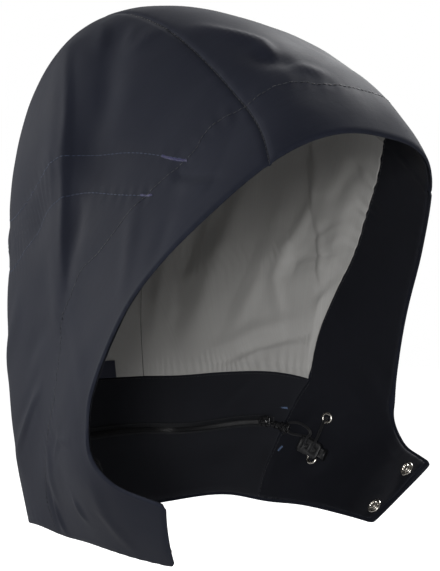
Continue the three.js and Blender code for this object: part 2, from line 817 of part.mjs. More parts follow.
function zipPull() {
  const frame = zipSeat(sliderLift + seatGap);
  const start = sliderLength * 0.62;
  const outline = new THREE.Shape();
  const half = pullWidth / 2;
  outline.moveTo(start, -half * 0.7);
  outline.lineTo(start + pullLength * 0.5, -half * 0.7);
  outline.lineTo(start + pullLength * 0.6, -half);
  outline.lineTo(start + pullLength * 0.95, -half);
  outline.lineTo(start + pullLength, -half * 0.6);
  outline.lineTo(start + pullLength, half * 0.6);
  outline.lineTo(start + pullLength * 0.95, half);
  outline.lineTo(start + pullLength * 0.6, half);
  outline.lineTo(start + pullLength * 0.5, half * 0.7);
  outline.lineTo(start, half * 0.7);
  outline.closePath();
  const tab = new THREE.ExtrudeGeometry(outline, {
    depth: pullWall, bevelEnabled: false, steps: 1,
  });
  const eye = new THREE.CylinderGeometry(cordHoleRadius, cordHoleRadius, pullWall * 4, 10);
  eye.rotateX(Math.PI / 2);
  eye.translate(start + pullLength - pullEyeFromEnd, 0, 0);
  const pull = geometryOf(solidOf(tab).subtract(solidOf(eye)));
  pull.rotateZ(-pullDip);
  return placed(pull, frame);
}

// Folded label in the neck seam at the centre of the nape
function neckLabel() {
  const end = labelWidth / 2 / panelNapeHalf * panelSeam;
  const half = [end, ...centreStations.filter((across) => across < end - 0.01)];
  const grid = bothSides(half).map((across) => {
    const bottom = neckDown(across);
    return range(2).map((q) => [across, bottom - downStep(across, bottom, labelHeight) * (1 - q)]);
  });
  return wall([grid], innerFace + labelGap, labelWall);
}

// Cord lock: a flat body on two holes with a sprung plunger
const lockPlace = [0.744, 0.811];
const lockLift = 11;
const lockDip = 0.33;       // radians its nose points below the level
const lockTurn = 0.25;      // radians its nose points towards the cloth

function lockFrame(side) {
  const frame = seat(side * lockPlace[0], lockPlace[1], lockLift);
  const dipped = frame.forward.clone().multiplyScalar(Math.cos(lockDip))
    .addScaledVector(frame.upward, -Math.sin(lockDip));
  const along = dipped.clone().multiplyScalar(Math.cos(lockTurn))
    .addScaledVector(frame.inward, -Math.sin(lockTurn)).normalize();
  const outwardFace = frame.inward.clone();
  outwardFace.addScaledVector(along, -outwardFace.dot(along)).normalize();
  return { origin: frame.origin, forward: along, inward: outwardFace };
}

const stemWidth = lockWidth - 2 * lockSideWall;
const stemThickness = lockThickness - 2 * lockWallMin - 2 * slideGap;
const lockHoles = [-lockHolePitch * 0.32, lockHolePitch * 0.68];

function cordHole(x, depth) {
  const drill = new THREE.CylinderGeometry(cordHoleRadius, cordHoleRadius, depth, 10);
  drill.rotateX(Math.PI / 2);
  drill.translate(x, 0, 0);
  return solidOf(drill);
}

function roundedBlock(length, width, thickness, radius) {
  const shape = new THREE.Shape();
  const [x, y] = [length / 2 - radius, width / 2 - radius];
  shape.absarc(x, -y, radius, -Math.PI / 2, 0);
  shape.absarc(x, y, radius, 0, Math.PI / 2);
  shape.absarc(-x, y, radius, Math.PI / 2, Math.PI);
  shape.absarc(-x, -y, radius, Math.PI, Math.PI * 1.5);
  const bevel = lockBevel;
  const block = new THREE.ExtrudeGeometry(shape, {
    depth: thickness - 2 * bevel, bevelEnabled: true, bevelSize: bevel, bevelThickness: bevel,
    bevelOffset: -bevel, bevelSegments: 1, steps: 1, curveSegments: 2,
  });
  block.translate(0, 0, -(thickness - 2 * bevel) / 2);
  return solidOf(block);
}

function lockBody(side) {
  const boreWidth = stemWidth + 2 * slideGap;
  const boreThickness = stemThickness + 2 * slideGap;
  const bore = new THREE.BoxGeometry(lockLength, boreWidth, boreThickness);
  bore.translate(lockWallMin, 0, 0);
  let solid = roundedBlock(lockLength, lockWidth, lockThickness, lockCorner).subtract(solidOf(bore));
  lockHoles.forEach((x) => { solid = solid.subtract(cordHole(x, lockThickness * 2)); });
  return placed(geometryOf(solid), lockFrame(side));
}

function lockPlunger(side) {
  const back = -lockLength / 2 + lockWallMin + pressTravel + slideGap;
  const front = lockLength / 2 + pressTravel + slideGap;
  const stem = new THREE.BoxGeometry(front - back + 0.5, stemWidth, stemThickness);
  stem.translate((front + back + 0.5) / 2, 0, 0);
  const head = new THREE.CylinderGeometry(plungerHeadRadius, plungerHeadRadius, plungerHeadThickness, 16);
  head.rotateZ(Math.PI / 2);
  head.translate(front + plungerHeadThickness / 2, 0, 0);
  let solid = solidOf(stem).add(solidOf(head));
  lockHoles.forEach((x) => {
    const slotLength = 2 * cordHoleRadius + pressTravel;
    const slot = new THREE.BoxGeometry(slotLength, 2 * cordHoleRadius, lockThickness * 2);
    slot.translate(x + pressTravel / 2, 0, 0);
    solid = solid.subtract(solidOf(slot));
  });
  return placed(geometryOf(solid), lockFrame(side));
}

// Drawcord of the left cheek: out of the upper eyelet, through the lock's front hole from its
// inner face, up behind the lock to a loop under the zip's pull, back over the lock, through its
// rear hole and into the lower eyelet. Millimetres; the right cheek's is its mirror image.
const cordRoute = [
  [116.2, -37.8, -284.6], [113.7, -38.7, -284.5], [110.9, -39.6, -285.1], [108.2, -40.4, -286.9],
  [99.9, -42.9, -295.6], [94.8, -44.1, -300.8], [93.6, -43.8, -302.5], [93.3, -43.0, -304.6],
  [94.1, -41.9, -306.4], [95.8, -40.8, -307.5], [99.3, -39.0, -308.4], [103.7, -36.6, -309.3],
  [105.5, -34.8, -307.6], [105.9, -32.5, -303.6], [106.0, -30.4, -301.4], [105.7, -27.6, -300.1],
  [104.2, -19.5, -299.0], [102.5, -10.8, -298.2], [102.2, -7.7, -296.9], [102.2, -6.4, -293.8],
  [102.3, -7.7, -290.7], [103.7, -14.8, -289.1], [104.5, -19.0, -289.8], [104.9, -23.5, -291.3],
  [104.0, -28.0, -293.2], [101.9, -32.0, -294.6], [98.4, -35.7, -295.8], [94.6, -37.7, -296.8],
  [92.6, -38.0, -297.9], [91.3, -37.7, -299.8], [91.0, -36.9, -301.9], [91.8, -35.8, -303.7],
  [93.5, -34.7, -304.7], [99.6, -31.6, -306.4], [101.3, -30.9, -307.4], [102.4, -30.8, -309.1],
  [102.7, -31.1, -310.9], [102.6, -31.6, -313.0], [103.9, -31.6, -315.2], [106.9, -30.8, -316.9],
];
const cordSides = 8;
const cordSteps = 50;

function drawcord(side) {
  const route = new THREE.CatmullRomCurve3(
    cordRoute.map(([x, y, z]) => new THREE.Vector3(side * x, y, z)), false, 'centripetal',
  );
  const section = new THREE.Shape();
  range(cordSides).slice(1).forEach((turn, k) => {
    const angle = turn * 2 * Math.PI;
    const [x, y] = [cordDiameter / 2 * Math.cos(angle), cordDiameter / 2 * Math.sin(angle)];
    if (k === 0) section.moveTo(x, y);
    else section.lineTo(x, y);
  });
  section.closePath();
  return tidy(new THREE.ExtrudeGeometry(section, {
    steps: cordSteps, bevelEnabled: false, extrudePath: route,
  }));
}

const group = new THREE.Group();
group.add(piece('shell_side_right', wall([sidePanelGrid(-1)], 0, shellWall), navyCloth));
group.add(piece('shell_side_left', wall([sidePanelGrid(1)], 0, shellWall), navyCloth));
group.add(piece('shell_centre_panel', wall([centrePanelGrid()], 0, shellWall), navyCloth));
group.add(piece('front_facing', withEyeletHoles(facingCloth), navyFacing));
group.add(piece('neck_facing', wall([neckFacingGrid()], liningDepth, liningWall), navyFacing));
group.add(piece('lining_side_right', wall([liningSideGrid(-1)], liningDepth, liningWall), greyLining));
group.add(piece('lining_side_left', wall([liningSideGrid(1)], liningDepth, liningWall), greyLining));
group.add(piece('lining_centre_panel', wall([liningCentreGrid()], liningDepth, liningWall), greyLining));
group.add(piece('neck_label', neckLabel(), labelCloth));

group.add(piece('zip_tape', zipStrip(zipTapeWidth, tapeGap, zipTapeWall), blackPlastic));
group.add(piece('zip_coil', zipStrip(
  zipCoilWidth, tapeGap + zipTapeWall + seatGap, zipCoilHeight - seatGap, zipCoilOffset,
), blackPlastic));
group.add(piece('zip_slider', zipSlider(), blackPlastic));
group.add(piece('zip_pull', zipPull(), blackPlastic));

const sides = { right: -1, left: 1 };
Object.entries(sides).forEach(([name, side]) => {
  Object.entries(eyeletPlaces).forEach(([level, place]) => {
    group.add(piece(`eyelet_${name}_${level}`, eyelet(side, place), nickel));
  });
  Object.entries(studPlaces).forEach(([level, place]) => {
    group.add(piece(`stud_${name}_${level}`, stud(side, place), nickel));
  });
  group.add(piece(`cord_lock_${name}`, lockBody(side), greyPlastic));
  group.add(piece(`lock_plunger_${name}`, lockPlunger(side), greyPlastic));
  group.add(piece(`drawcord_${name}`, drawcord(side), blackCord));
});

export default group;
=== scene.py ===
import math

import bmesh
import bpy
import numpy as np
from mathutils import Matrix, Vector
from mathutils.kdtree import KDTree


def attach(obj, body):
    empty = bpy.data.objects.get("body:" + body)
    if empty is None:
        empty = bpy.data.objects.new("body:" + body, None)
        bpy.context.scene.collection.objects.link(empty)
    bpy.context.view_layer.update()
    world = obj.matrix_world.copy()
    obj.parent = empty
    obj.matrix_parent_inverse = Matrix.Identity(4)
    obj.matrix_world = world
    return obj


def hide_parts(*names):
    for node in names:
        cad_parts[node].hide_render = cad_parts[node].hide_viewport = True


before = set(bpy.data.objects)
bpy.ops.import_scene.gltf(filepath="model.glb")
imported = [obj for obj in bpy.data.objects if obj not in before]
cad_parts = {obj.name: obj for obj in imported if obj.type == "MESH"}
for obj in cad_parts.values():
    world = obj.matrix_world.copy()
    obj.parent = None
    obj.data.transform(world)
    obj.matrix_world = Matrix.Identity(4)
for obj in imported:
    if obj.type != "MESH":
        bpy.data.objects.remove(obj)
bpy.ops.object.select_all(action="DESELECT")
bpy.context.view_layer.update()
mm = 0.001
print("frame loaded,", len(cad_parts), "nodes")

# The camera stands where the photographer did: level, at the height of the mouth
viewer = {"place": (-0.367, -0.4823, -0.2203), "turn": -40.03, "lens": 52.9, "shiftUp": 0.0867}
cameraData = bpy.data.cameras.new("viewer")
cameraData.lens = viewer["lens"]
cameraData.shift_y = viewer["shiftUp"]
cameraData.clip_start = 0.02
camera = bpy.data.objects.new("viewer", cameraData)
camera.location = viewer["place"]
camera.rotation_euler = (math.radians(90), 0, math.radians(viewer["turn"]))
bpy.context.scene.collection.objects.link(camera)
bpy.context.scene.camera = camera


# Meshes that are laid out point by point: cloth, cords and thread
def makeMesh(name, places, faces, uv=None):
    mesh = bpy.data.meshes.new(name)
    mesh.from_pydata(np.asarray(places, float).tolist(), [], faces)
    if uv is not None:
        corner = np.zeros(len(mesh.loops), np.int32)
        mesh.loops.foreach_get("vertex_index", corner)
        layer = mesh.uv_layers.new(name="clothUv")
        layer.data.foreach_set("uv", np.asarray(uv, np.float32)[corner].ravel())
    mesh.polygons.foreach_set("use_smooth", [True] * len(mesh.polygons))
    mesh.update()
    piece = bpy.data.objects.new(name, mesh)
    bpy.context.scene.collection.objects.link(piece)
    return piece


# How far along a line each of its points lies
def runAlong(line):
    return np.r_[0, np.cumsum(np.linalg.norm(np.diff(line, axis=0), axis=1))]


# Quads between rings of points that follow one another
def ringFaces(count, sides):
    faces = []
    for k in range(count - 1):
        for s in range(sides):
            t = (s + 1) % sides
            faces.append([k * sides + s, k * sides + t, (k + 1) * sides + t, (k + 1) * sides + s])
    return faces


def tubeAlong(line, radii, sides):
    line = np.asarray(line, float)
    ways = np.gradient(line, axis=0)
    ways /= np.linalg.norm(ways, axis=1, keepdims=True)
    across = np.cross(ways[0], (0.0, 0.0, 1.0))
    across /= np.linalg.norm(across)
    turn = np.arange(sides) * 2 * math.pi / sides
    rings = []
    for k, (place, way) in enumerate(zip(line, ways)):
        across = across - way * (across @ way)  # carried along without twisting
        across /= np.linalg.norm(across)
        other = np.cross(way, across)
        size = radii(k, turn)[:, None]
        rings.append(place + size * (np.cos(turn)[:, None] * across + np.sin(turn)[:, None] * other))
    count = len(line)
    faces = ringFaces(count, sides)
    for s in range(sides):
        t = (s + 1) % sides
        faces.append([t, s, count * sides])
        faces.append([(count - 1) * sides + s, (count - 1) * sides + t, count * sides + 1])
    return np.concatenate([*rings, line[:1], line[-1:]]), faces


# Each cheek's drawcord: out of the upper eyelet, through the lock from its inner face, round the
# zip's pull, back through the lock and into the lower eyelet. The left cheek's, in metres.
drawcord = {
    "route": [
        (0.1162, -0.0378, -0.2846), (0.1137, -0.0387, -0.2845), (0.1109, -0.0396, -0.2851),
        (0.1082, -0.0404, -0.2869), (0.0999, -0.0429, -0.2956), (0.0948, -0.0441, -0.3008),
        (0.0936, -0.0438, -0.3025), (0.0933, -0.0430, -0.3046), (0.0941, -0.0419, -0.3064),
        (0.0958, -0.0408, -0.3075), (0.0993, -0.0390, -0.3084), (0.1037, -0.0366, -0.3093),
        (0.1055, -0.0348, -0.3076), (0.1059, -0.0325, -0.3036), (0.1060, -0.0304, -0.3014),
        (0.1057, -0.0276, -0.3001), (0.1042, -0.0195, -0.2990), (0.1025, -0.0108, -0.2982),
        (0.1022, -0.0077, -0.2969), (0.1022, -0.0064, -0.2938), (0.1023, -0.0077, -0.2907),
        (0.1037, -0.0148, -0.2891), (0.1045, -0.0190, -0.2898), (0.1049, -0.0235, -0.2913),
        (0.1040, -0.0280, -0.2932), (0.1019, -0.0320, -0.2946), (0.0984, -0.0357, -0.2958),
        (0.0946, -0.0377, -0.2968), (0.0926, -0.0380, -0.2979), (0.0913, -0.0377, -0.2998),
        (0.0910, -0.0369, -0.3019), (0.0918, -0.0358, -0.3037), (0.0935, -0.0347, -0.3047),
        (0.0996, -0.0316, -0.3064), (0.1013, -0.0309, -0.3074), (0.1024, -0.0308, -0.3091),
        (0.1027, -0.0311, -0.3109), (0.1026, -0.0316, -0.3130), (0.1039, -0.0316, -0.3152),
        (0.1069, -0.0308, -0.3169),
    ],
    "diameter": 0.0020,
    "strands": 6,
    "pitch": 0.0048,  # one turn of a strand
    "relief": 0.07,  # how far a strand stands proud, as a share of the radius
    "ringEvery": 0.00028,
    "sides": 16,
}


# A centripetal curve through the route, as the part draws it
def routeCurve(points, ringEvery, stepsPerSpan=24):
    p = np.asarray(points, float)
    p = np.concatenate([2 * p[:1] - p[1:2], p, 2 * p[-1:] - p[-2:-1]])
    line = []
    for i in range(1, len(p) - 2):
        d0, d1, d2 = (math.sqrt(np.linalg.norm(p[i + k] - p[i + k - 1])) for k in range(3))
        t1 = (p[i] - p[i - 1]) / d0 - (p[i + 1] - p[i - 1]) / (d0 + d1) + (p[i + 1] - p[i]) / d1
        t2 = (p[i + 1] - p[i]) / d1 - (p[i + 2] - p[i]) / (d1 + d2) + (p[i + 2] - p[i + 1]) / d2
        t = np.linspace(0, 1, stepsPerSpan, endpoint=False)[:, None]
        a, b = p[i], p[i + 1]
        line.append(a + t1 * d1 * t + (3 * (b - a) - (2 * t1 + t2) * d1) * t**2
                    + (2 * (a - b) + (t1 + t2) * d1) * t**3)
    line = np.concatenate([*line, p[-2:-1]])
    run = runAlong(line)
    at = np.linspace(0, run[-1], int(run[-1] / ringEvery) + 1)
    return np.stack([np.interp(at, run, line[:, k]) for k in range(3)], 1), run[-1]


cordPieces = {}
for sideName, side in (("Right", -1), ("Left", 1)):
    route = [(side * x, y, z) for x, y, z in drawcord["route"]]
    line, cordLength = routeCurve(route, drawcord["ringEvery"])
    turnsPerRing = drawcord["ringEvery"] / drawcord["pitch"] * 2 * math.pi

    def braided(k, turn):
        one = np.cos(drawcord["strands"] * (turn + turnsPerRing * k))
        two = np.cos(drawcord["strands"] * (turn - turnsPerRing * k))
        return drawcord["diameter"] / 2 * (1 - drawcord["relief"] * (1 - np.maximum(one, two)) / 2)

    places, faces = tubeAlong(line, braided, drawcord["sides"])
    cordPieces[sideName] = (makeMesh("drawcord" + sideName, places, faces), line, cordLength)
print("camera and drawcords, each", round(cordLength, 4), "m long")

# The hood's own size in metres, and its shape as shares of it, as in the part
hood = {"depth": 0.325, "height": 0.370, "cheek": 0.266, "frontHalf": 0.079, "napeHalf": 0.053,
        "seam": 0.2, "cheekShare": 0.45}
layers = {"shell": 0.0012, "gap": 0.0022, "edgeGap": 0.0012, "edgeReach": 0.020, "lining": 0.0010,
          "headSlack": 0.0003}
layers["inside"] = layers["shell"] + layers["gap"]
layers["innerFace"] = layers["inside"] + layers["lining"]
centreLine = [(0.00, 0.000, 0.687), (0.14, 0.091, 0.805), (0.30, 0.389, 0.963), (0.48, 0.737, 0.961),
              (0.66, 0.988, 0.659), (0.83, 0.999, 0.324), (1.00, 0.902, 0.000)]
faceEdge = [(0.00, 0.160, 0.154), (0.06, 0.214, 0.165), (0.115, 0.258, 0.179), (0.17, 0.296, 0.213),
            (0.24, 0.305, 0.261), (0.34, 0.289, 0.325), (0.50, 0.238, 0.434), (0.68, 0.157, 0.533),
            (0.84, 0.074, 0.620), (1.00, 0.000, 0.687)]
neckHem = [(0.00, 0.248, 0.039), (0.22, 0.387, 0.039), (0.38, 0.490, 0.039), (0.58, 0.610, 0.033),
           (0.72, 0.711, 0.033), (1.00, 0.902, 0.000)]
wallDepths = (0.148, 0.332, 0.563, 0.902)
wallWidths = [(0.027, 0.550, 0.656, 0.703, 0.825), (0.189, 0.907, 0.967, 0.827, 0.805),
              (0.365, 1.027, 0.955, 0.821, 0.772), (0.554, 0.853, 0.856, 0.876, 0.783),
              (0.770, 0.720, 0.835, 0.941, 0.844), (0.973, 0.821, 0.968, 1.008, 0.900)]
archSquareness = [(0.0, 2.8), (0.1, 2.6), (0.3, 2.7), (0.6, 3.5), (1.0, 3.5)]
facingRungs = [(0.80, 0.700, 0.605), (0.76, 0.693, 0.555), (0.70, 0.675, 0.475), (0.62, 0.636, 0.378),
               (0.53, 0.568, 0.294), (0.44, 0.488, 0.238), (0.35, 0.395, 0.199), (0.27, 0.305, 0.170),
               (0.18, 0.200, 0.148), (0.09, 0.100, 0.118), (0.00, 0.000, 0.098)]
neckSeam = [(0.000, 0.848), (0.200, 0.845), (0.317, 0.833), (0.448, 0.792), (0.560, 0.730),
            (0.665, 0.640), (0.700, 0.605)]
zipLine = [(0.000, 0.42), (0.286, 0.42), (0.620, 0.49), (0.800, 0.485), (1.000, 0.52)]
facingHemAcross = 0.565
neckEdgeBow = 0.012


# Natural cubic curve through rows whose first number is where they stand
def softCurve(rows):
    rows = np.array(rows, float)
    xs, ys = rows[:, 0], rows[:, 1:]
    count = len(xs)
    step = np.diff(xs)
    sums, pulls = np.eye(count), np.zeros_like(ys)
    for i in range(1, count - 1):
        sums[i, i - 1:i + 2] = step[i - 1], 2 * (step[i - 1] + step[i]), step[i]
        pulls[i] = 6 * ((ys[i + 1] - ys[i]) / step[i] - (ys[i] - ys[i - 1]) / step[i - 1])
    bend = np.linalg.solve(sums, pulls)

    def at(x):
        x = np.clip(np.asarray(x, float), xs[0], xs[-1])
        i = np.clip(np.searchsorted(xs, x, side="right") - 1, 0, count - 2)
        h = step[i][..., None]
        a = (xs[i + 1] - x)[..., None] / h
        b = 1 - a
        return a * ys[i] + b * ys[i + 1] + ((a**3 - a) * bend[i] + (b**3 - b) * bend[i + 1]) * h * h / 6

    return at


centreAt, edgeAt, hemAt = softCurve(centreLine), softCurve(faceEdge), softCurve(neckHem)
powerAt, widthAt = softCurve(archSquareness), softCurve(wallWidths)
depthShare = softCurve([(d, *row) for d, row in zip(wallDepths, np.eye(4))])


# The smooth outer face as a table over down and across, one side of the hood
def archPoints(down, angle):
    power = powerAt(down)[..., 0]
    rise = np.sin(angle) ** (2 / power)
    spread = np.clip(np.cos(angle), 0, 1) ** (2 / power)
    t = np.clip(rise / hood["cheekShare"], 0, 1)
    pull = (rise * t * t * (3 - 2 * t))[..., None]
    down = down[..., None]
    chord = (1 - down) * np.array(centreLine[0][1:]) + down * np.array(centreLine[-1][1:])
    place = (1 - down) * edgeAt(rise) + down * hemAt(rise) + pull * (centreAt(down[..., 0]) - chord)
    share = (depthShare(place[..., 0]) * widthAt(place[..., 1])).sum(-1)
    return np.stack([share * spread * hood["cheek"] / 2, place[..., 0] * hood["depth"],
                     place[..., 1] * hood["height"]], -1)


def crownTop(steps=401):
    down = np.linspace(0, 1, steps)
    ridge = archPoints(down, np.full(steps, math.pi / 2))
    return ridge[ridge[:, 2].argmax()]


tableRows, tableColumns, archSteps = 240, 300, 361
downs = np.linspace(0, 1, tableRows + 1)
acrosses = np.linspace(0, 1, tableColumns + 1)
seatDepth = layers["innerFace"] + layers["headSlack"]
originShift = np.array([0, -crownTop()[1], seatDepth - crownTop()[2]])
skinTable = np.zeros((tableRows + 1, tableColumns + 1, 3))
archTotal = np.zeros(tableRows + 1)
halfAt = hood["frontHalf"] + (hood["napeHalf"] - hood["frontHalf"]) * downs
for k, down in enumerate(downs):
    arch = archPoints(np.full(archSteps, down), np.linspace(0, math.pi / 2, archSteps))
    run = runAlong(arch)
    archTotal[k] = run[-1]
    fromCentre = np.where(acrosses < hood["seam"], halfAt[k] * acrosses / hood["seam"],
                          halfAt[k] + (run[-1] - halfAt[k]) * (acrosses - hood["seam"]) / (1 - hood["seam"]))
    skinTable[k] = np.stack([np.interp(run[-1] - fromCentre, run, arch[:, i]) for i in range(3)], -1)
skinTable += originShift
mirrored = skinTable[:, 1:2] * np.array([-1, 1, 1])
padded = np.concatenate([mirrored, skinTable, 2 * skinTable[:, -1:] - skinTable[:, -2:-1]], 1)
padded = np.concatenate([2 * padded[:1] - padded[1:2], padded, 2 * padded[-1:] - padded[-2:-1]], 0)


# Smooth interpolation in that table. across is -1 to 1 from the right flap to the left one.
def tapWeights(t):
    taps = (-t + 2 * t**2 - t**3, 2 - 5 * t**2 + 3 * t**3, t + 4 * t**2 - 3 * t**3, t**3 - t**2)
    return np.stack(taps, -1) / 2


def skin(across, down):
    across, down = np.broadcast_arrays(np.asarray(across, float), np.asarray(down, float))
    row = np.clip(down, 0, 1) * tableRows
    column = np.clip(np.abs(across), 0, 1) * tableColumns
    i = np.clip(row.astype(int), 0, tableRows - 1)
    j = np.clip(column.astype(int), 0, tableColumns - 1)
    wi, wj = tapWeights(row - i), tapWeights(column - j)
    found = 0
    for a in range(4):
        for b in range(4):
            found = found + (wi[..., a] * wj[..., b])[..., None] * padded[i + a, j + b]
    found = found * np.stack([np.where(across < 0, -1.0, 1.0), np.ones_like(down), np.ones_like(down)], -1)
    return found


def skinNormal(across, down, step=0.004):
    across, down = np.broadcast_arrays(np.asarray(across, float), np.asarray(down, float))
    alongAcross = skin(np.minimum(across + step, 1), down) - skin(np.maximum(across - step, -1), down)
    alongDown = skin(across, np.minimum(down + step, 1)) - skin(across, np.maximum(down - step, 0))
    normal = np.cross(alongAcross, alongDown)
    return normal / np.linalg.norm(normal, axis=-1, keepdims=True)


def sidePanelLength(down):
    return (np.interp(down, downs, archTotal) - np.interp(down, downs, halfAt)) / (1 - hood["seam"])


def acrossStep(down, gap):
    return gap / sidePanelLength(down)


def downStep(across, down, gap, step=0.01):
    upper, lower = np.clip(down - step, 0, 1), np.clip(down + step, 0, 1)
    return gap * (lower - upper) / np.linalg.norm(skin(across, lower) - skin(across, upper), axis=-1)


# Lengths over the cloth, for its weave: metres from the centre line and metres from the face edge
downRun = np.concatenate([np.zeros((1, tableColumns + 1)),
                          np.cumsum(np.linalg.norm(np.diff(skinTable, axis=0), axis=2), 0)])


def clothUv(across, down):
    c = np.abs(across)
    half = np.interp(down, downs, halfAt)
    beyond = half + sidePanelLength(down) * (c - hood["seam"])
    fromCentre = np.where(c < hood["seam"], half * c / hood["seam"], beyond)
    row, column = down * tableRows, c * tableColumns
    i, j = np.clip(row.astype(int), 0, tableRows - 1), np.clip(column.astype(int), 0, tableColumns - 1)
    a, b = row - i, column - j
    run = ((1 - a) * (1 - b) * downRun[i, j] + (1 - a) * b * downRun[i, j + 1]
           + a * (1 - b) * downRun[i + 1, j] + a * b * downRun[i + 1, j + 1])
    return np.stack([np.sign(across) * fromCentre, run], -1)


# Smooth unevenness from a few crossing waves, the same at each run
def wavy(places, size, seed, count=7):
    dice = np.random.default_rng(seed)
    total = np.zeros(places.shape[:-1])
    for _ in range(count):
        way = dice.normal(size=3)
        way *= 2 * math.pi / (np.linalg.norm(way) * size * dice.uniform(0.7, 1.5))
        total += np.sin(places @ way + dice.uniform(0, 2 * math.pi))
    return total / count


# How far each place is from a broken line, how far along it, and on which side of it
def alongLine(places, line):
    best = np.full(len(places), 1e9)
    share, hand = np.zeros(len(places)), np.zeros(len(places))
    lengths = np.linalg.norm(np.diff(line, axis=0), axis=1)
    starts = np.r_[0, np.cumsum(lengths)]
    for k in range(len(line) - 1):
        run = line[k + 1] - line[k]
        t = np.clip((places - line[k]) @ run / (run @ run), 0, 1)
        off = places - (line[k] + t[:, None] * run)
        away = np.linalg.norm(off, axis=1)
        closer = away < best
        best[closer] = away[closer]
        share[closer] = ((starts[k] + t * lengths[k]) / starts[-1])[closer]
        hand[closer] = np.sign(np.cross(off, run) @ line[k])[closer]
    return best, share, hand


# The part's own broad folds: places as across and down, reach and rise as shares of half the cheek
formFolds = [
    ((0.29, 0.40), (0.46, 0.405), 0.11, 0.024), ((0.46, 0.405), (0.64, 0.47), 0.11, 0.022),
    ((0.25, 0.33), (0.42, 0.34), 0.10, -0.020), ((0.57, 0.77), (0.42, 0.91), 0.10, 0.016),
    ((0.80, 0.26), (0.74, 0.72), 0.14, -0.012), ((0.10, 0.10), (0.02, 0.20), 0.12, -0.012),
    ((0.36, 0.18), (0.44, 0.30), 0.12, -0.012), ((0.44, 0.30), (0.48, 0.40), 0.12, -0.012),
    ((0.48, 0.40), (0.50, 0.52), 0.12, -0.012), ((0.50, 0.52), (0.30, 0.66), 0.12, -0.012),
]


def formRise(places, across):
    rise = np.zeros(len(places))
    halfCheek = hood["cheek"] / 2
    for side in (-1, 1):
        mine = (across < 0) if side < 0 else (across >= 0)
        for start, end, reach, height in formFolds:
            line = np.stack([skin(side * start[0], start[1]), skin(side * end[0], end[1])])
            away, _, _ = alongLine(places[mine], line)
            rise[mine] += height * halfCheek * np.exp(-((away / (reach * halfCheek)) ** 2))
    return rise


# Finer folds of the shell, from the photograph. side -1 is the wearer's right; lean above 0 makes
# one flank of the fold steeper. Reach and rise in millimetres.
def fold(places, reach, rise, side=0, lean=0.0):
    return {"places": places, "reach": reach * mm, "rise": rise * mm, "side": side, "lean": lean}


shellFolds = [
    fold([(0.290, 0.393), (0.351, 0.380), (0.387, 0.377), (0.429, 0.379), (0.457, 0.382), (0.498, 0.390),
          (0.538, 0.398), (0.583, 0.413), (0.623, 0.429)], 3.6, 1.3, 0, 0.3),
    fold([(0.285, 0.368), (0.330, 0.360), (0.370, 0.356), (0.415, 0.358), (0.450, 0.364)], 8.0, 0.6),
    fold([(0.289, 0.346), (0.333, 0.340), (0.377, 0.338), (0.413, 0.343)], 7.0, 0.8),
    fold([(0.306, 0.317), (0.349, 0.312), (0.392, 0.310)], 9.0, -0.6),
    fold([(0.500, 0.352), (0.540, 0.360), (0.585, 0.372)], 6.0, -0.9),
    fold([(0.222, 0.366), (0.250, 0.352), (0.285, 0.343)], 4.5, 0.9, 0, 0.4),
    fold([(0.215, 0.320), (0.262, 0.311)], 4.0, 0.6),
    fold([(0.208, 0.284), (0.240, 0.294), (0.270, 0.304)], 4.0, 0.6),
    fold([(0.53, 0.375), (0.60, 0.40), (0.66, 0.45)], 7.0, -1.1),
    fold([(0.156, 0.254), (0.124, 0.221), (0.103, 0.200), (0.111, 0.163)], 5.0, 1.6, -1, 0.3),
    fold([(0.140, 0.190), (0.119, 0.173), (0.095, 0.150)], 6.5, -1.5, -1),
    fold([(0.105, 0.150), (0.084, 0.146), (0.060, 0.120)], 4.0, 0.9, -1),
    fold([(0.346, 0.180), (0.353, 0.165), (0.336, 0.135), (0.294, 0.079)], 2.6, -1.0, -1, 0.4),
    fold([(0.360, 0.165), (0.350, 0.130), (0.31, 0.08)], 6.0, 0.9, -1),
    fold([(0.614, 0.703), (0.535, 0.819), (0.428, 0.904)], 3.2, 1.3, 0, 0.3),
    fold([(0.590, 0.690), (0.510, 0.800), (0.410, 0.880)], 6.0, -1.0),
    fold([(0.824, 0.469), (0.760, 0.640), (0.694, 0.792)], 3.2, 1.1, 0, 0.3),
    fold([(0.800, 0.520), (0.730, 0.700), (0.670, 0.830)], 6.0, -0.8),
    fold([(0.613, 0.930), (0.616, 0.990)], 3.0, 1.2),
    fold([(0.600, 0.900), (0.590, 0.985)], 4.5, -0.9),
    fold([(0.796, 0.780), (0.792, 0.880)], 4.0, 1.0),
    fold([(0.66, 0.80), (0.64, 0.93)], 5.0, 0.8),
    fold([(0.46, 0.66), (0.38, 0.76), (0.30, 0.83)], 9.0, 1.3),
    fold([(0.40, 0.60), (0.30, 0.70), (0.20, 0.76)], 11.0, -1.3),
    fold([(0.62, 0.56), (0.56, 0.66), (0.50, 0.74)], 8.0, -0.9),
    fold([(0.20, 0.42), (0.10, 0.46), (0.0, 0.47)], 12.0, -1.2),
    fold([(0.22, 0.50), (0.10, 0.53), (0.0, 0.535)], 10.0, 1.2),
    fold([(0.24, 0.76), (0.12, 0.80), (0.0, 0.81)], 10.0, 1.0),
    fold([(0.20, 0.88), (0.10, 0.92), (0.05, 0.96)], 8.0, -0.9, -1),
    fold([(0.22, 0.90), (0.16, 0.95), (0.12, 0.99)], 7.0, 0.9, 1),
    fold([(0.44, 0.225), (0.50, 0.185), (0.56, 0.10)], 6.0, 0.8),
    fold([(0.40, 0.13), (0.44, 0.09), (0.47, 0.04)], 6.0, -0.6, -1),
    fold([(0.66, 0.44), (0.71, 0.30), (0.74, 0.15)], 7.0, 0.7),
    fold([(0.88, 0.30), (0.90, 0.60), (0.91, 0.90)], 6.0, 0.6),
]

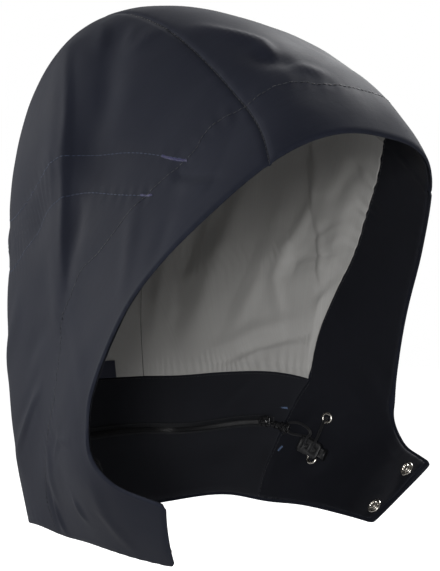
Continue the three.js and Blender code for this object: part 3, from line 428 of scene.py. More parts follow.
# Lines sewn through the shell: the facing's edge, and the two of the adjuster's channel that runs
# round the back of the head. Grooves and puckers follow them.
facingSewn = [(0.565, 0.988), (0.562, 0.958), (0.580, 0.920), (0.622, 0.855), (0.668, 0.758),
              (0.710, 0.623), (0.707, 0.585), (0.693, 0.537), (0.677, 0.503), (0.659, 0.450),
              (0.633, 0.388), (0.598, 0.340), (0.554, 0.280), (0.494, 0.240), (0.469, 0.228),
              (0.420, 0.205), (0.325, 0.170), (0.284, 0.168), (0.244, 0.160), (0.203, 0.145),
              (0.145, 0.135), (0.100, 0.118), (0.074, 0.105), (0.000, 0.095)]
channelUpper = [(0.335, 0.180), (0.358, 0.212), (0.382, 0.247), (0.414, 0.293), (0.436, 0.335),
                (0.453, 0.390), (0.462, 0.430), (0.466, 0.480), (0.440, 0.550), (0.350, 0.620),
                (0.220, 0.650), (0.000, 0.662)]
channelLower = [(0.411, 0.192), (0.443, 0.238), (0.475, 0.297), (0.500, 0.368), (0.512, 0.420),
                (0.514, 0.480), (0.495, 0.555), (0.410, 0.650), (0.260, 0.702), (0.000, 0.718)]


def smoothLine(places, every=0.0005):
    places = np.array(places, float)
    along = np.linspace(0, 1, len(places))
    curve = softCurve(np.c_[along, places])(np.linspace(0, 1, 1200))
    run = runAlong(skin(curve[:, 0], curve[:, 1]))
    at = np.linspace(0, run[-1], max(int(run[-1] / every), 2))
    return np.stack([np.interp(at, run, curve[:, k]) for k in range(2)], 1), at


def mirrorOf(places):
    return [(-c, d) for c, d in places]


# One line round the hood where its two halves meet on the centre line
def acrossBoth(places):
    return list(places) + mirrorOf(places)[-2::-1]


def sewnLine(places, pucker, wave, reach, groove):
    curve, run = smoothLine(places)
    points = skin(curve[:, 0], curve[:, 1])
    tree = KDTree(len(points))
    for k, point in enumerate(points):
        tree.insert(point, k)
    tree.balance()
    return {"tree": tree, "run": run, "curve": curve, "pucker": pucker * mm, "wave": wave * mm,
            "reach": reach * mm, "groove": groove * mm}


# The seams at either side of a centre panel, from one place down the hood to another
def panelSeams(start, stop, count, *look):
    downward = np.linspace(start, stop, count)
    return {"seamRight": sewnLine([(-hood["seam"], d) for d in downward], *look),
            "seamLeft": sewnLine([(hood["seam"], d) for d in downward], *look)}


# Each line's pucker, wavelength, reach and groove in millimetres
sewnShell = {
    "facing": sewnLine(acrossBoth(facingSewn), 0.30, 9.0, 6.0, 0.10),
    "channelUpper": sewnLine(acrossBoth(channelUpper), 0.28, 7.5, 6.0, 0.10),
    "channelLower": sewnLine(acrossBoth(channelLower), 0.28, 7.5, 6.0, 0.10),
    **panelSeams(0, 1, 40, 0.20, 11.0, 7.0, 1.10),
    "hem": sewnLine([(c, 0.992) for c in np.linspace(-0.99, 0.99, 60)], 0.16, 10.0, 6.0, 0.15),
}


grooveReach = 1.1 * mm


def nearest(tree, places):
    found = [tree.find(place) for place in places]
    return np.array([f[1] for f in found]), np.array([f[2] for f in found])


def sewnRise(places, lines, seed=3):
    rise = np.zeros(len(places))
    for k, line in enumerate(lines.values()):
        which, away = nearest(line["tree"], places)
        along = line["run"][which]
        drift = np.sin(along / (5.3 * line["wave"]) + k)
        drift += 0.6 * np.sin(along / (2.9 * line["wave"]) + 2 * k + seed)
        strength = 0.55 + 0.45 * np.sin(along / (3.7 * line["wave"]) + 1.7 * k)
        ripple = np.sin(2 * math.pi * along / line["wave"] + 2.2 * drift) * strength
        rise += line["pucker"] * ripple * np.exp(-((away / line["reach"]) ** 2))
        rise -= line["groove"] * np.exp(-((away / grooveReach) ** 2))
    return rise


def foldRise(places, folds, strength=1.0):
    rise = np.zeros(len(places))
    for one in folds:
        for side in ((-1, 1) if one["side"] == 0 else (one["side"],)):
            line = np.array([skin(side * c, d) for c, d in one["places"]])
            away, share, hand = alongLine(places, line)
            reach = one["reach"] * (1 + one["lean"] * hand)
            fade = np.clip(np.sin(math.pi * (0.04 + 0.92 * share)), 0, 1) ** 0.7
            rise += one["rise"] * fade * np.exp(-((away / reach) ** 2))
    return rise * strength


gathers = {"start": 0.25, "growsOver": 0.15, "lean": 0.35, "pitch": 0.0068, "height": 0.75 * mm,
           "reach": 0.011, "proud": 0.9 * mm, "proudReach": 0.010}


# The elastic in the channel gathers the cloth between its lines at the back, and the channel
# stands a little proud
def gatherRise(places):
    rise = np.zeros(len(places))
    for side in (-1, 1):
        middle = 0
        for edge in (channelUpper, channelLower):
            edge = np.array([(side * c, d) for c, d in edge])
            middle = middle + softCurve(np.c_[np.linspace(0, 1, len(edge)), edge])(np.linspace(0, 1, 12)) / 2
        line = skin(middle[:, 0], middle[:, 1])
        away, share, hand = alongLine(places, line)
        along = share * np.linalg.norm(np.diff(line, axis=0), axis=1).sum()
        strength = np.clip((share - gathers["start"]) / gathers["growsOver"], 0, 1)
        phase = (along + away * hand * gathers["lean"]) / gathers["pitch"]
        # uneven, as elastic pulls
        phase = phase + 0.9 * np.sin(along / 0.019) + 0.6 * np.sin(along / 0.031 + 1)
        across = np.exp(-((away / gathers["reach"]) ** 4))
        rise += gathers["height"] * strength * np.sin(2 * math.pi * phase) * across
        rise += gathers["proud"] * np.exp(-((away / gathers["proudReach"]) ** 4))
    return rise


unevenness = {"broad": 0.8 * mm, "broadSize": 0.075, "fine": 0.30 * mm, "fineSize": 0.028, "fadesOver": 0.05}
foldStrength = 1.6  # the shell's folds stand this much higher than they are listed


def shellRise(places, across, down):
    broad = (unevenness["broad"] * wavy(places, unevenness["broadSize"], 11)
             + unevenness["fine"] * wavy(places, unevenness["fineSize"], 12))
    fades = np.clip(np.minimum(down, 1 - down) / unevenness["fadesOver"], 0, 1)
    folded = formRise(places, across) + foldRise(places, shellFolds, foldStrength)
    return folded + sewnRise(places, sewnShell) + gatherRise(places) + broad * fades


pinch = {"height": 1.0 * mm, "reach": 0.005, "power": 1.5}


# How much nearer the layers are to one another by the hood's edges, where they are sewn together
def closeness(places, across, down):
    away = np.minimum(np.linalg.norm(places - skin(across, np.zeros_like(down)), axis=-1),
                      np.linalg.norm(places - skin(across, np.ones_like(down)), axis=-1))
    end = np.where(across < 0, -1.0, 1.0)
    away = np.minimum(away, np.linalg.norm(places - skin(end, down), axis=-1))
    close = (layers["gap"] - layers["edgeGap"]) * np.clip(1 - away / layers["edgeReach"], 0, 1)
    close = close + pinch["height"] * np.clip(1 - away / pinch["reach"], 0, 1) ** pinch["power"]
    return close, away


# A place in a layer inside the shell, which gives way to the shell's dents
def innerPlace(across, down, depth, lift):
    places, normal = skin(across, down), skinNormal(across, down)
    rise = np.minimum(shellRise(places, across, down), 0)
    close, away = closeness(places, across, down)
    inward = lift(places, across, down, away) if lift else 0
    return places + normal * (rise + close - depth - inward)[:, None], normal


# The flaps' corners are turned out round: places near them slide onto an arc
def rounded(across, down, radius=0.0048):
    side, end = np.sign(across), np.abs(across)
    for edge, way in ((0, 1), (1, -1)):
        perMetre = downStep(side * end, down, 1.0)
        length = sidePanelLength(down)
        a = np.clip(1 - (1 - end) * length / radius, 0, 1)
        b = np.clip(1 - np.abs(down - edge) / perMetre / radius, 0, 1)
        turned = (a > 0) & (b > 0)
        share = np.where(turned, np.maximum(a, b) / np.maximum(np.hypot(a, b), 1e-9), 1)
        end = np.where(turned, 1 - radius * (1 - a * share) / length, end)
        down = np.where(turned, edge + way * radius * (1 - b * share) * perMetre, down)
    return side * end, down


edgeSteps = np.array([0, 0.12, 0.32, 0.6, 1.0])


# Shares from 0 to 1 that crowd together at both ends, where the cloth is turned over
def gradedShares(count, length, turn=0.0014):
    lead = edgeSteps * turn / length
    middle = np.linspace(lead[-1], 1 - lead[-1], max(count, 3))
    return np.concatenate([lead[:-1], middle, 1 - lead[-2::-1]])


# A grid of places from what each is across and down
def gridOf(across, down):
    return np.stack(np.broadcast_arrays(across, down), -1)


cutSizes = {}  # each panel's width, length and area over the smooth skin
turnedEdge = {"round": 0.47, "reach": 1.6, "worn": 1.6, "steps": 6}


# Cloth from one or more grids of places that share their common corners: both faces and a rim
# that is rounded like a folded edge
def clothPiece(name, grids, wall, surface):
    places, quads, start = [], [], 0
    for grid in grids:
        rows, columns = grid.shape[:2]
        index = start + np.arange(rows * columns).reshape(rows, columns)
        corners = [index[:-1, :-1], index[:-1, 1:], index[1:, 1:], index[1:, :-1]]
        quads.append(np.stack(corners, -1).reshape(-1, 4))
        places.append(grid.reshape(-1, 2))
        start += rows * columns
    places, quads = np.concatenate(places), np.concatenate(quads)
    rounding = np.round(places * 1e6).astype(np.int64)
    _, first, known = np.unique(rounding, axis=0, return_index=True, return_inverse=True)
    places, quads = places[first], known.reshape(-1)[quads]
    corner = places[quads]
    turn = np.cross(corner[:, 2] - corner[:, 0], corner[:, 3] - corner[:, 1])
    quads[turn < 0] = quads[turn < 0][:, ::-1]
    quads = quads[np.abs(turn) > 1e-14]  # those without an area are left out
    count = len(places)
    ahead = np.stack([quads, np.roll(quads, -1, 1)], -1).reshape(-1, 2)
    code, back = ahead[:, 0] * count + ahead[:, 1], ahead[:, 1] * count + ahead[:, 0]
    rim = ahead[~np.isin(code, back)]
    across, down = rounded(places[:, 0], places[:, 1])
    flat = skin(across, down)
    steps = turnedEdge["steps"]
    tree = KDTree(len(rim) * steps)
    for k, (a, b) in enumerate(rim):
        for step in range(steps):
            tree.insert(flat[a] + (flat[b] - flat[a]) * step / steps, k)
    tree.balance()
    _, away = nearest(tree, flat)
    radius, reach = turnedEdge["round"] * wall, turnedEdge["reach"]
    off = np.clip(radius * reach - away, 0, None) / reach
    tuck = (radius - np.sqrt(np.clip(radius**2 - off**2, 0, None)))[:, None]
    outer, normal = surface(across, down, 0.0)
    inner, _ = surface(across, down, wall)
    outer, inner = outer - normal * tuck, inner + normal * tuck
    rimQuads = np.stack([rim[:, 1], rim[:, 0], rim[:, 0] + count, rim[:, 1] + count], -1)
    faces = np.concatenate([quads, quads[:, ::-1] + count, rimQuads])
    uv = clothUv(across, down)
    piece = makeMesh(name, np.concatenate([outer, inner]), faces.tolist(), np.concatenate([uv, uv]))
    near = np.clip(1 - away / (turnedEdge["worn"] * wall), 0, 1).astype(np.float32)
    edgeNear = piece.data.attributes.new("edgeNear", "FLOAT", "POINT")
    edgeNear.data.foreach_set("value", np.concatenate([near, near]))
    corner = flat[quads]
    twice = np.cross(corner[:, 2] - corner[:, 0], corner[:, 3] - corner[:, 1])
    spread = np.linalg.norm(twice, axis=1).sum() / 2
    cutSizes[name] = (np.ptp(uv[:, 0]), np.ptp(uv[:, 1]), spread)
    return piece


# The shell's edges are rolled in over the facings
def shellSurface(across, down, into):
    places, normal = skin(across, down), skinNormal(across, down)
    _, away = closeness(places, across, down)
    roll = shell["roll"] * np.clip(1 - away / shell["rollReach"], 0, 1) ** 2
    return places + normal * (shellRise(places, across, down) - roll - into)[:, None], normal


def insideSurface(lift, base=layers["inside"]):
    def at(across, down, into):
        return innerPlace(across, down, base + into, lift)

    return at


# The panels overlap a little at their seams, or light shows through there from behind
shell = {"roll": 0.9 * mm, "rollReach": 2.2 * mm, "wall": layers["shell"], "seamGap": -0.0003,
         "rows": 190, "sideColumns": 120, "centreColumns": 50}
pieces = {}


def shellPanels():
    rows = gradedShares(shell["rows"], 0.60)
    for sideName, side in (("Right", -1), ("Left", 1)):
        shares = gradedShares(shell["sideColumns"], 0.30)
        seam = hood["seam"] + acrossStep(rows, shell["seamGap"] / 2)
        grid = gridOf(side * (1 + (seam[:, None] - 1) * shares), rows[:, None])
        name = "shellSide" + sideName
        pieces[name] = clothPiece(name, [grid], shell["wall"], shellSurface)
    shares = gradedShares(shell["centreColumns"], 0.13)
    half = hood["frontHalf"] + (hood["napeHalf"] - hood["frontHalf"]) * rows
    seam = hood["seam"] * (1 - shell["seamGap"] / 2 / half)
    grid = gridOf(seam[:, None] * (2 * shares - 1), rows[:, None])
    pieces["shellCentre"] = clothPiece("shellCentre", [grid], shell["wall"], shellSurface)


shellPanels()
print("shell panels sewn")

# Inner edge of the facing and the neck seam as smooth lines over the hood
rungAt = softCurve([(k, *row) for k, row in enumerate(facingRungs)])
rungDense = rungAt(np.linspace(0, 10, 2001))
neckAt = softCurve(neckSeam)
zipDrop = softCurve(zipLine)
linkCorner = facingRungs[0]
facingInner = [(c, d) for _, c, d in facingRungs]


def facingDown(across):
    return np.interp(np.abs(across), rungDense[::-1, 1], rungDense[::-1, 2])


def neckDown(across):
    return neckAt(np.abs(across))[..., 0]


def neckEdge(drop):
    return linkCorner[1] + (facingHemAcross - linkCorner[1]) * drop + 4 * neckEdgeBow * drop * (1 - drop)


def neckPlace(along, drop):
    across = along * neckEdge(drop)
    top = neckDown(along * linkCorner[1])
    return across, top + (1 - top) * drop


# Folds of the lining, from the photograph: a positive rise stands towards the wearer
liningFolds = [
    fold([(0.600, 0.570), (0.534, 0.548), (0.522, 0.479), (0.493, 0.404), (0.455, 0.350), (0.40, 0.32)],
         6.5, 2.6, 0, 0.2),
    fold([(0.565, 0.505), (0.550, 0.470), (0.548, 0.430), (0.540, 0.39)], 4.0, -1.4),
    fold([(0.540, 0.500), (0.557, 0.419), (0.545, 0.339), (0.485, 0.240)], 2.6, -1.5, 0, 0.4),
    fold([(0.575, 0.470), (0.580, 0.390), (0.555, 0.310)], 6.5, 1.5),
    fold([(0.527, 0.392), (0.480, 0.305), (0.401, 0.206)], 3.4, -2.0, 0, 0.4),
    fold([(0.545, 0.365), (0.500, 0.285), (0.430, 0.210)], 5.0, 1.8),
    fold([(0.430, 0.290), (0.406, 0.269), (0.334, 0.227), (0.300, 0.200)], 5.5, -2.0),
    fold([(0.470, 0.290), (0.430, 0.250), (0.36, 0.205)], 6.0, 2.0),
    fold([(0.370, 0.350), (0.350, 0.325)], 9.0, -1.2),
    fold([(0.330, 0.235), (0.320, 0.205)], 6.5, -2.0),
    fold([(0.330, 0.820), (0.420, 0.792), (0.506, 0.732), (0.557, 0.679), (0.625, 0.595), (0.667, 0.517),
          (0.668, 0.417)], 3.0, -2.6, 0, 0.45),
    fold([(0.400, 0.770), (0.490, 0.712), (0.540, 0.655), (0.605, 0.575), (0.645, 0.50)], 6.5, 2.6),
    fold([(0.350, 0.760), (0.375, 0.660), (0.375, 0.560), (0.345, 0.470)], 11.0, 4.2),
    fold([(0.290, 0.790), (0.300, 0.700), (0.300, 0.600), (0.285, 0.500)], 8.0, -3.2),
    fold([(0.430, 0.740), (0.450, 0.650), (0.450, 0.560), (0.420, 0.460)], 9.0, -1.3, 0, 0.3),
    fold([(0.480, 0.700), (0.500, 0.620), (0.490, 0.540)], 7.0, 1.4),
    fold([(0.230, 0.790), (0.250, 0.720), (0.245, 0.650)], 7.0, 3.0),
    fold([(0.270, 0.760), (0.290, 0.735), (0.320, 0.725)], 6.0, 2.0),
    fold([(0.620, 0.430), (0.600, 0.360), (0.570, 0.300)], 5.0, -1.8),
    fold([(0.640, 0.440), (0.622, 0.375), (0.59, 0.32)], 4.0, 1.6),
    fold([(0.130, 0.770), (0.060, 0.740), (0.0, 0.735)], 9.0, 2.0),
    fold([(0.150, 0.700), (0.070, 0.660), (0.0, 0.650)], 12.0, -1.6),
    fold([(0.180, 0.560), (0.080, 0.520), (0.0, 0.510)], 14.0, 2.2),
    fold([(0.180, 0.400), (0.080, 0.360), (0.0, 0.350)], 14.0, -1.4),
    fold([(0.220, 0.300), (0.130, 0.250), (0.0, 0.230)], 12.0, 2.0),
]
sewnLining = {
    **panelSeams(0.14, 0.845, 30, 0.45, 13.0, 8.0, 0.2),
    "facing": sewnLine(acrossBoth(facingInner), 0.55, 12.0, 9.0, 0.2),
}
pleatLine = sewnLine(acrossBoth(neckSeam[::-1]), 1.25, 6.6, 15.0, 0.1)


labelCloth = {"width": 58 * mm, "height": 15 * mm, "wall": 0.8 * mm, "gap": 1.6 * mm, "fade": 0.008,
              "rows": 14, "columns": 60}
slack = {"hang": 2.3 * mm, "broad": 1.4 * mm, "fine": 0.35 * mm, "facingFade": 0.05, "neckFade": 0.03,
         "deepest": 0.3 * mm, "lowest": -1.2 * mm}


# The lining hangs slack between its seams, and is gathered into the neck facing in small pleats
def liningLift(places, across, down, _):
    fromFacing, fromNeck = down - facingDown(across), neckDown(across) - down
    room = np.clip(np.minimum(fromFacing / slack["facingFade"], fromNeck / slack["neckFade"]), 0, 1)
    room = room * room * (3 - 2 * room)
    hang = slack["hang"] + slack["broad"] * wavy(places, 0.11, 21) + slack["fine"] * wavy(places, 0.03, 22)
    lift = room * (hang + foldRise(places, liningFolds))
    which, away = nearest(pleatLine["tree"], places)
    along = pleatLine["run"][which]
    phase = along / pleatLine["wave"] + 0.55 * np.sin(along / 0.013) + 0.4 * np.sin(along / 0.029 + 2)
    pleat = np.abs(np.sin(math.pi * phase)) ** 1.5 * (0.5 + 0.5 * np.sin(along / 0.023 + 1) ** 2)
    sewnDown = 1 - 0.75 * np.exp(-away / 0.002)  # pleats flatten right at the seam
    lift = lift + pleatLine["pucker"] * pleat * np.exp(-((away / pleatLine["reach"]) ** 2)) * sewnDown
    lift = lift + np.clip(sewnRise(places, sewnLining, 5), -slack["deepest"], None)
    fromMiddle = np.abs(places[:, 0]) - labelCloth["width"] / 2
    fromSeam = (neckDown(across) - down) / downStep(across, down, 1.0) - labelCloth["height"]
    fade = labelCloth["fade"]
    under = np.clip(1 - fromMiddle / fade, 0, 1) * np.clip(1 - fromSeam / fade, 0, 1)
    lift = lift + (np.minimum(lift, labelCloth["gap"] - 0.5 * mm) - lift) * under
    return np.maximum(lift, slack["lowest"])


facingFolds = [
    fold([(0.930, 0.30), (0.880, 0.20), (0.80, 0.12)], 9.0, 0.9),
    fold([(0.700, 0.520), (0.740, 0.330), (0.780, 0.150)], 8.0, 1.0),
    fold([(0.690, 0.600), (0.770, 0.470), (0.84, 0.35)], 6.0, -0.7),
    fold([(0.600, 0.310), (0.600, 0.180), (0.590, 0.060)], 8.0, 0.9),
    fold([(0.470, 0.230), (0.480, 0.130), (0.490, 0.040)], 7.0, -0.7),
    fold([(0.640, 0.900), (0.700, 0.930), (0.80, 0.95)], 7.0, 0.8),
    fold([(0.860, 0.880), (0.870, 0.750), (0.890, 0.620)], 7.0, 0.8),
]
sewnFacing = {
    "edge": sewnLine([(c, 0.012) for c in np.linspace(-0.99, 0.99, 80)], 0.18, 9.0, 6.0, 0.1),
    "inner": sewnLine(acrossBoth(facingInner), 0.20, 11.0, 7.0, 0.1),
}


# A seat on the cloth's inner face: x forward, y across it, z towards the wearer
def seatWays(across, down, lift=0.0):
    c, d = np.array([across]), np.array([down])
    place, normal = skin(c, d), skinNormal(c, d)
    close, _ = closeness(place, c, d)
    depth = np.minimum(formRise(place, c), 0) + close - layers["innerFace"] - lift
    inward = Vector(-normal[0])
    upward = (Vector((0, 0, 1)) - inward * inward.z).normalized()
    forward = upward.cross(inward).normalized()
    if forward.y > 0:
        forward.negate()
    return Vector((place + normal * depth[:, None])[0]), forward, upward, inward


def seatMatrix(origin, forward, inward):
    turned = Matrix([forward, inward.cross(forward), inward]).transposed()
    return Matrix.Translation(origin) @ turned.to_4x4()


# The same, moved to where the part's own solid stands, whose foot reaches below the seat
def nodeSeat(node, across, down, foot):
    origin, forward, _, inward = seatWays(across, down)
    low = min((vertex.co - origin).dot(inward) for vertex in bpy.data.objects[node].data.vertices)
    return seatMatrix(origin + inward * (low + foot), forward, inward)


trims = {
    "eyelet": {"places": {"upper": (0.760, 0.652), "lower": (0.737, 0.849)}, "foot": 1.3 * mm},
    "stud": {"places": {"upper": (0.972, 0.235), "lower": (0.977, 0.810)}, "foot": 0.0},
    "flatTo": 0.0065,  # the facing is flat this far round them
    "flatFade": 0.012,
}
trimSeats = {}
for kind in ("eyelet", "stud"):
    for level, (c, d) in trims[kind]["places"].items():
        for sideName, side in (("right", -1), ("left", 1)):
            at = nodeSeat(f"{kind}_{sideName}_{level}", side * c, d, trims[kind]["foot"])
            trimSeats[kind, sideName, level] = (at, skin(side * c, d))


# Cloth lies flat against the metal parts that are set in it
def toTrims(places, across, down, lift):
    flat, _ = innerPlace(across, down, layers["innerFace"], None)
    for at, middle in trimSeats.values():
        away = np.linalg.norm(places - middle, axis=-1)
        share = np.clip(1 - (away - trims["flatTo"]) / trims["flatFade"], 0, 1)
        share = share * share * (3 - 2 * share)
        reach = (np.array(at.translation) - flat) @ np.array(at.col[2][:3])
        lift = lift * (1 - share) + share * (reach - 0.03 * mm)
    return lift


def facingLift(places, across, down, away):
    soft = 0.35 * mm * wavy(places, 0.05, 31) + 0.18 * mm * wavy(places, 0.02, 32)
    free = np.clip(away / 0.015, 0, 1)  # held at its edges
    lift = (soft + foldRise(places, facingFolds)) * free + sewnRise(places, sewnFacing, 7)
    return toTrims(places, across, down, lift)


zipParts = {"tapeLift": 0.8 * mm, "tapeWidth": 10 * mm, "tapeWall": 0.7 * mm, "end": 0.955,
            "coilLift": 1.5 * mm, "coilOffset": 1.2 * mm, "toothPitch": 1.45 * mm,
            "sliderAt": 0.915, "sliderLift": 3.6 * mm}


def zipCurve(offset=0.0, count=600):
    alongs = np.linspace(-zipParts["end"], zipParts["end"], count)
    across, down = neckPlace(alongs, zipDrop(np.abs(alongs))[..., 0])
    return np.c_[across, down + downStep(across, down, offset)]


zipWay = sewnLine(zipCurve(count=60), 0, 1, 1, 0)
neckFolds = [
    fold([(0.10, 0.885), (0.30, 0.875), (0.45, 0.845)], 7.0, 0.7),
    fold([(0.30, 0.965), (0.42, 0.955), (0.52, 0.930)], 7.0, 0.8),
    fold([(0.46, 0.97), (0.52, 0.96)], 5.0, -0.5),
]


def neckLift(places, across, down, away):
    soft = 0.22 * mm * wavy(places, 0.04, 41) + 0.12 * mm * wavy(places, 0.016, 42)
    _, fromZip = nearest(zipWay["tree"], places)
    calm = np.clip((fromZip - 0.004) / 0.008, 0, 1)
    welt = zipParts["tapeLift"] * (1 - np.clip((fromZip - 0.006) / 0.012, 0, 1) ** 2)
    return (soft + foldRise(places, neckFolds)) * np.clip(away / 0.012, 0, 1) * calm + welt - 0.05 * mm


inner = {"seamGap": 0.0005, "panelGap": 0.0006, "tipGap": 0.004, "leastDrop": 0.0004, "edgeInset": 0.0022,
         "facingColumns": 44, "flapColumns": 56, "browRows": 141, "neckRows": 26, "neckColumns": 150,
         "liningColumns": 92, "liningRows": 104, "liningCentreColumns": 44}


def inset(grid):
    across, down = grid[..., 0], grid[..., 1]
    near = downStep(across, np.zeros_like(down), inner["edgeInset"])
    far = downStep(across, np.ones_like(down), inner["edgeInset"])
    down = np.clip(down, near, 1 - far)
    across = np.sign(across) * np.minimum(np.abs(across), 1 - acrossStep(down, inner["edgeInset"]))
    return np.stack([across, down], -1)


def frontFacing():
    shares = gradedShares(inner["facingColumns"], 0.09)
    count, last = inner["browRows"], len(facingRungs) - 1
    rungs = rungAt(np.concatenate([np.linspace(0, last, count), np.linspace(last, 0, count)[1:]]))
    sign = np.r_[np.ones(count), -np.ones(count - 1)]
    inwards = rungs[:, :1] + (rungs[:, 1:2] - rungs[:, :1]) * shares
    grids = [inset(gridOf(sign[:, None] * inwards, rungs[:, 2:3] * shares))]
    acrossShares = gradedShares(inner["flapColumns"], 0.10)
    atHem = 1 - np.array([0.025, 0.012, 0.006, 0.002, 0.0])
    drops = np.unique(np.concatenate([np.linspace(0, 1, 34)[:-1], atHem]))
    atEdge, atLink, linkDown = linkCorner
    for side in (-1, 1):
        start = np.concatenate([atEdge + (atLink - atEdge) * shares, neckEdge(drops[1:])])[:, None]
        down = np.concatenate([linkDown * shares, linkDown + (1 - linkDown) * drops[1:]])
        grids.append(inset(gridOf(side * (start + (1 - start) * acrossShares), down[:, None])))
    return clothPiece("frontFacing", grids, layers["lining"], insideSurface(facingLift))


def neckFacing():
    alongs = gradedShares(inner["neckColumns"], 0.5) * 2 - 1
    drops = gradedShares(inner["neckRows"], 0.055)
    side = acrossStep(neckDown(alongs * linkCorner[1]), inner["seamGap"]) / linkCorner[1]
    along = (alongs * (1 - side))[:, None] + 0 * drops
    across, down = neckPlace(along, drops[None, :] + 0 * along)
    gap = downStep(across, down, inner["seamGap"] / 2)
    grid = gridOf(across, down + gap * (1 - drops))
    return clothPiece("neckFacing", [inset(grid)], layers["lining"], insideSurface(neckLift))


# A lining panel from the facing's inner edge down to the neck seam
def liningPanel(name, side, columns):
    rows = gradedShares(inner["liningRows"], 0.33)
    top = facingDown(columns) + downStep(columns, facingDown(columns), inner["seamGap"])
    bottom = neckDown(columns) - downStep(columns, neckDown(columns), inner["seamGap"])
    bottom = np.maximum(bottom, top + inner["leastDrop"])
    grid = gridOf(side * columns[:, None], top[:, None] + (bottom - top)[:, None] * rows)
    pieces[name] = clothPiece(name, [grid], layers["lining"], insideSurface(liningLift))


def liningPanels():
    seam, tip = hood["seam"] + inner["panelGap"], linkCorner[1] - inner["tipGap"]
    columns = seam + (tip - seam) * gradedShares(inner["liningColumns"], 0.20)
    liningPanel("liningSideRight", -1, columns)
    liningPanel("liningSideLeft", 1, columns)
    shares = gradedShares(inner["liningCentreColumns"], 0.13)
    liningPanel("liningCentre", 1, (hood["seam"] - inner["panelGap"]) * (2 * shares - 1))


# Folded label in the neck seam, with nothing on it
def neckLabel():
    end = labelCloth["width"] / 2 / np.interp(0.845, downs, halfAt) * hood["seam"]
    columns = end * (2 * gradedShares(labelCloth["columns"], labelCloth["width"]) - 1)
    rows = gradedShares(labelCloth["rows"], labelCloth["height"])
    bottom = neckDown(columns)
    rise = downStep(columns, bottom, labelCloth["height"])
    grid = gridOf(columns[:, None], bottom[:, None] - rise[:, None] * (1 - rows))

    def lift(places, across, down, _):
        return labelCloth["gap"] + 0.25 * mm * wavy(places, 0.03, 51)

    return clothPiece("neckLabel", [grid], labelCloth["wall"], insideSurface(lift, layers["innerFace"]))


def tapeLift(*_):
    return zipParts["tapeLift"]


def zipTape():
    curve = zipCurve()
    shares = gradedShares(8, zipParts["tapeWidth"])
    half = downStep(curve[:, 0], curve[:, 1], zipParts["tapeWidth"] / 2)
    grid = gridOf(curve[:, :1], curve[:, 1:] + half[:, None] * (2 * shares - 1))
    return clothPiece("zipTape", [grid], zipParts["tapeWall"], insideSurface(tapeLift, layers["innerFace"]))


pieces["frontFacing"] = frontFacing()
pieces["neckFacing"] = neckFacing()
liningPanels()
pieces["neckLabel"] = neckLabel()
pieces["zipTape"] = zipTape()
print("facings, lining, label and tape sewn")


# Shared effects as node groups. They put out shades, masks and heights alone.
def put(tree, kind, sockets=None, **settings):
    node = tree.nodes.new(kind)
    for key, value in settings.items():
        setattr(node, key, value)
    for key, value in (sockets or {}).items():
        if isinstance(value, bpy.types.NodeSocket):
            tree.links.new(value, node.inputs[key])
        else:
            node.inputs[key].default_value = value
    return node


def maths(tree, operation, *values):
    return put(tree, "ShaderNodeMath", dict(enumerate(values)), operation=operation).outputs[0]


def noise(tree, vector, scale, detail, **more):
    sockets = {"Vector": vector, "Scale": scale, "Detail": detail, **more}
    return put(tree, "ShaderNodeTexNoise", sockets).outputs[0]


def ranged(tree, value, low=0.0, high=1.0, start=0.0, stop=1.0):
    return put(tree, "ShaderNodeMapRange", {0: value, 1: low, 2: high, 3: start, 4: stop}).outputs[0]


# A group whose inputs are numbers, or vectors where no number is given, and whose outputs are numbers
def startGroup(name, inputs, outputs):
    group = bpy.data.node_groups.new(name, "ShaderNodeTree")
    for label, value in inputs.items():
        kind = "NodeSocketVector" if value is None else "NodeSocketFloat"
        socket = group.interface.new_socket(name=label, in_out="INPUT", socket_type=kind)
        if value is not None:
            socket.default_value = value
    for label in outputs:
        group.interface.new_socket(name=label, in_out="OUTPUT", socket_type="NodeSocketFloat")
    return group, group.nodes.new("NodeGroupInput").outputs, group.nodes.new("NodeGroupOutput").inputs


def wovenThreads():
    given = {"Vector": None, "Threads": 1500.0, "Ribs": 0.5}
    group, given, out = startGroup("wovenThreads", given, ("Height", "Shade"))
    sockets = {0: given["Vector"], "Scale": given["Threads"]}
    scaled = put(group, "ShaderNodeVectorMath", sockets, operation="SCALE").outputs[0]
    parts = put(group, "ShaderNodeSeparateXYZ", {0: scaled}).outputs
    warp = maths(group, "SINE", maths(group, "MULTIPLY", parts[0], 2 * math.pi))
    weft = maths(group, "SINE", maths(group, "MULTIPLY", parts[1], 2 * math.pi))
    weave = maths(group, "MULTIPLY_ADD", maths(group, "MULTIPLY", warp, weft), 0.5, 0.5)
    ribs = maths(group, "MULTIPLY_ADD", weft, 0.5, 0.5)
    mixed = put(group, "ShaderNodeMix", {0: given["Ribs"], 2: weave, 3: ribs}).outputs[0]
    # single threads are thicker or thinner along their length
    drawn = maths(group, "MULTIPLY", parts[0], 0.03)
    long = put(group, "ShaderNodeCombineXYZ", {0: drawn, 1: parts[1]}).outputs[0]
    slub = noise(group, long, 0.9, 1.0)
    for label, ofSlub, ofWeave in (("Height", 0.5, 0.6), ("Shade", 0.8, 0.3)):
        woven = maths(group, "MULTIPLY", mixed, ofWeave)
        group.links.new(maths(group, "MULTIPLY_ADD", slub, ofSlub, woven), out[label])
    return group


def clothMottle():
    given = {"Vector": None, "Scale": 18.0, "Lint": 0.5}
    group, given, out = startGroup("clothMottle", given, ("Shade", "Lint", "Crumple"))
    specks = noise(group, given["Vector"], 1400.0, 2.0)
    group.links.new(noise(group, given["Vector"], given["Scale"], 4.0, Roughness=0.55), out["Shade"])
    group.links.new(ranged(group, specks, 0.64, 0.74, 0.0, given["Lint"]), out["Lint"])
    group.links.new(noise(group, given["Vector"], 150.0, 3.0, Roughness=0.5, Distortion=0.4), out["Crumple"])
    return group


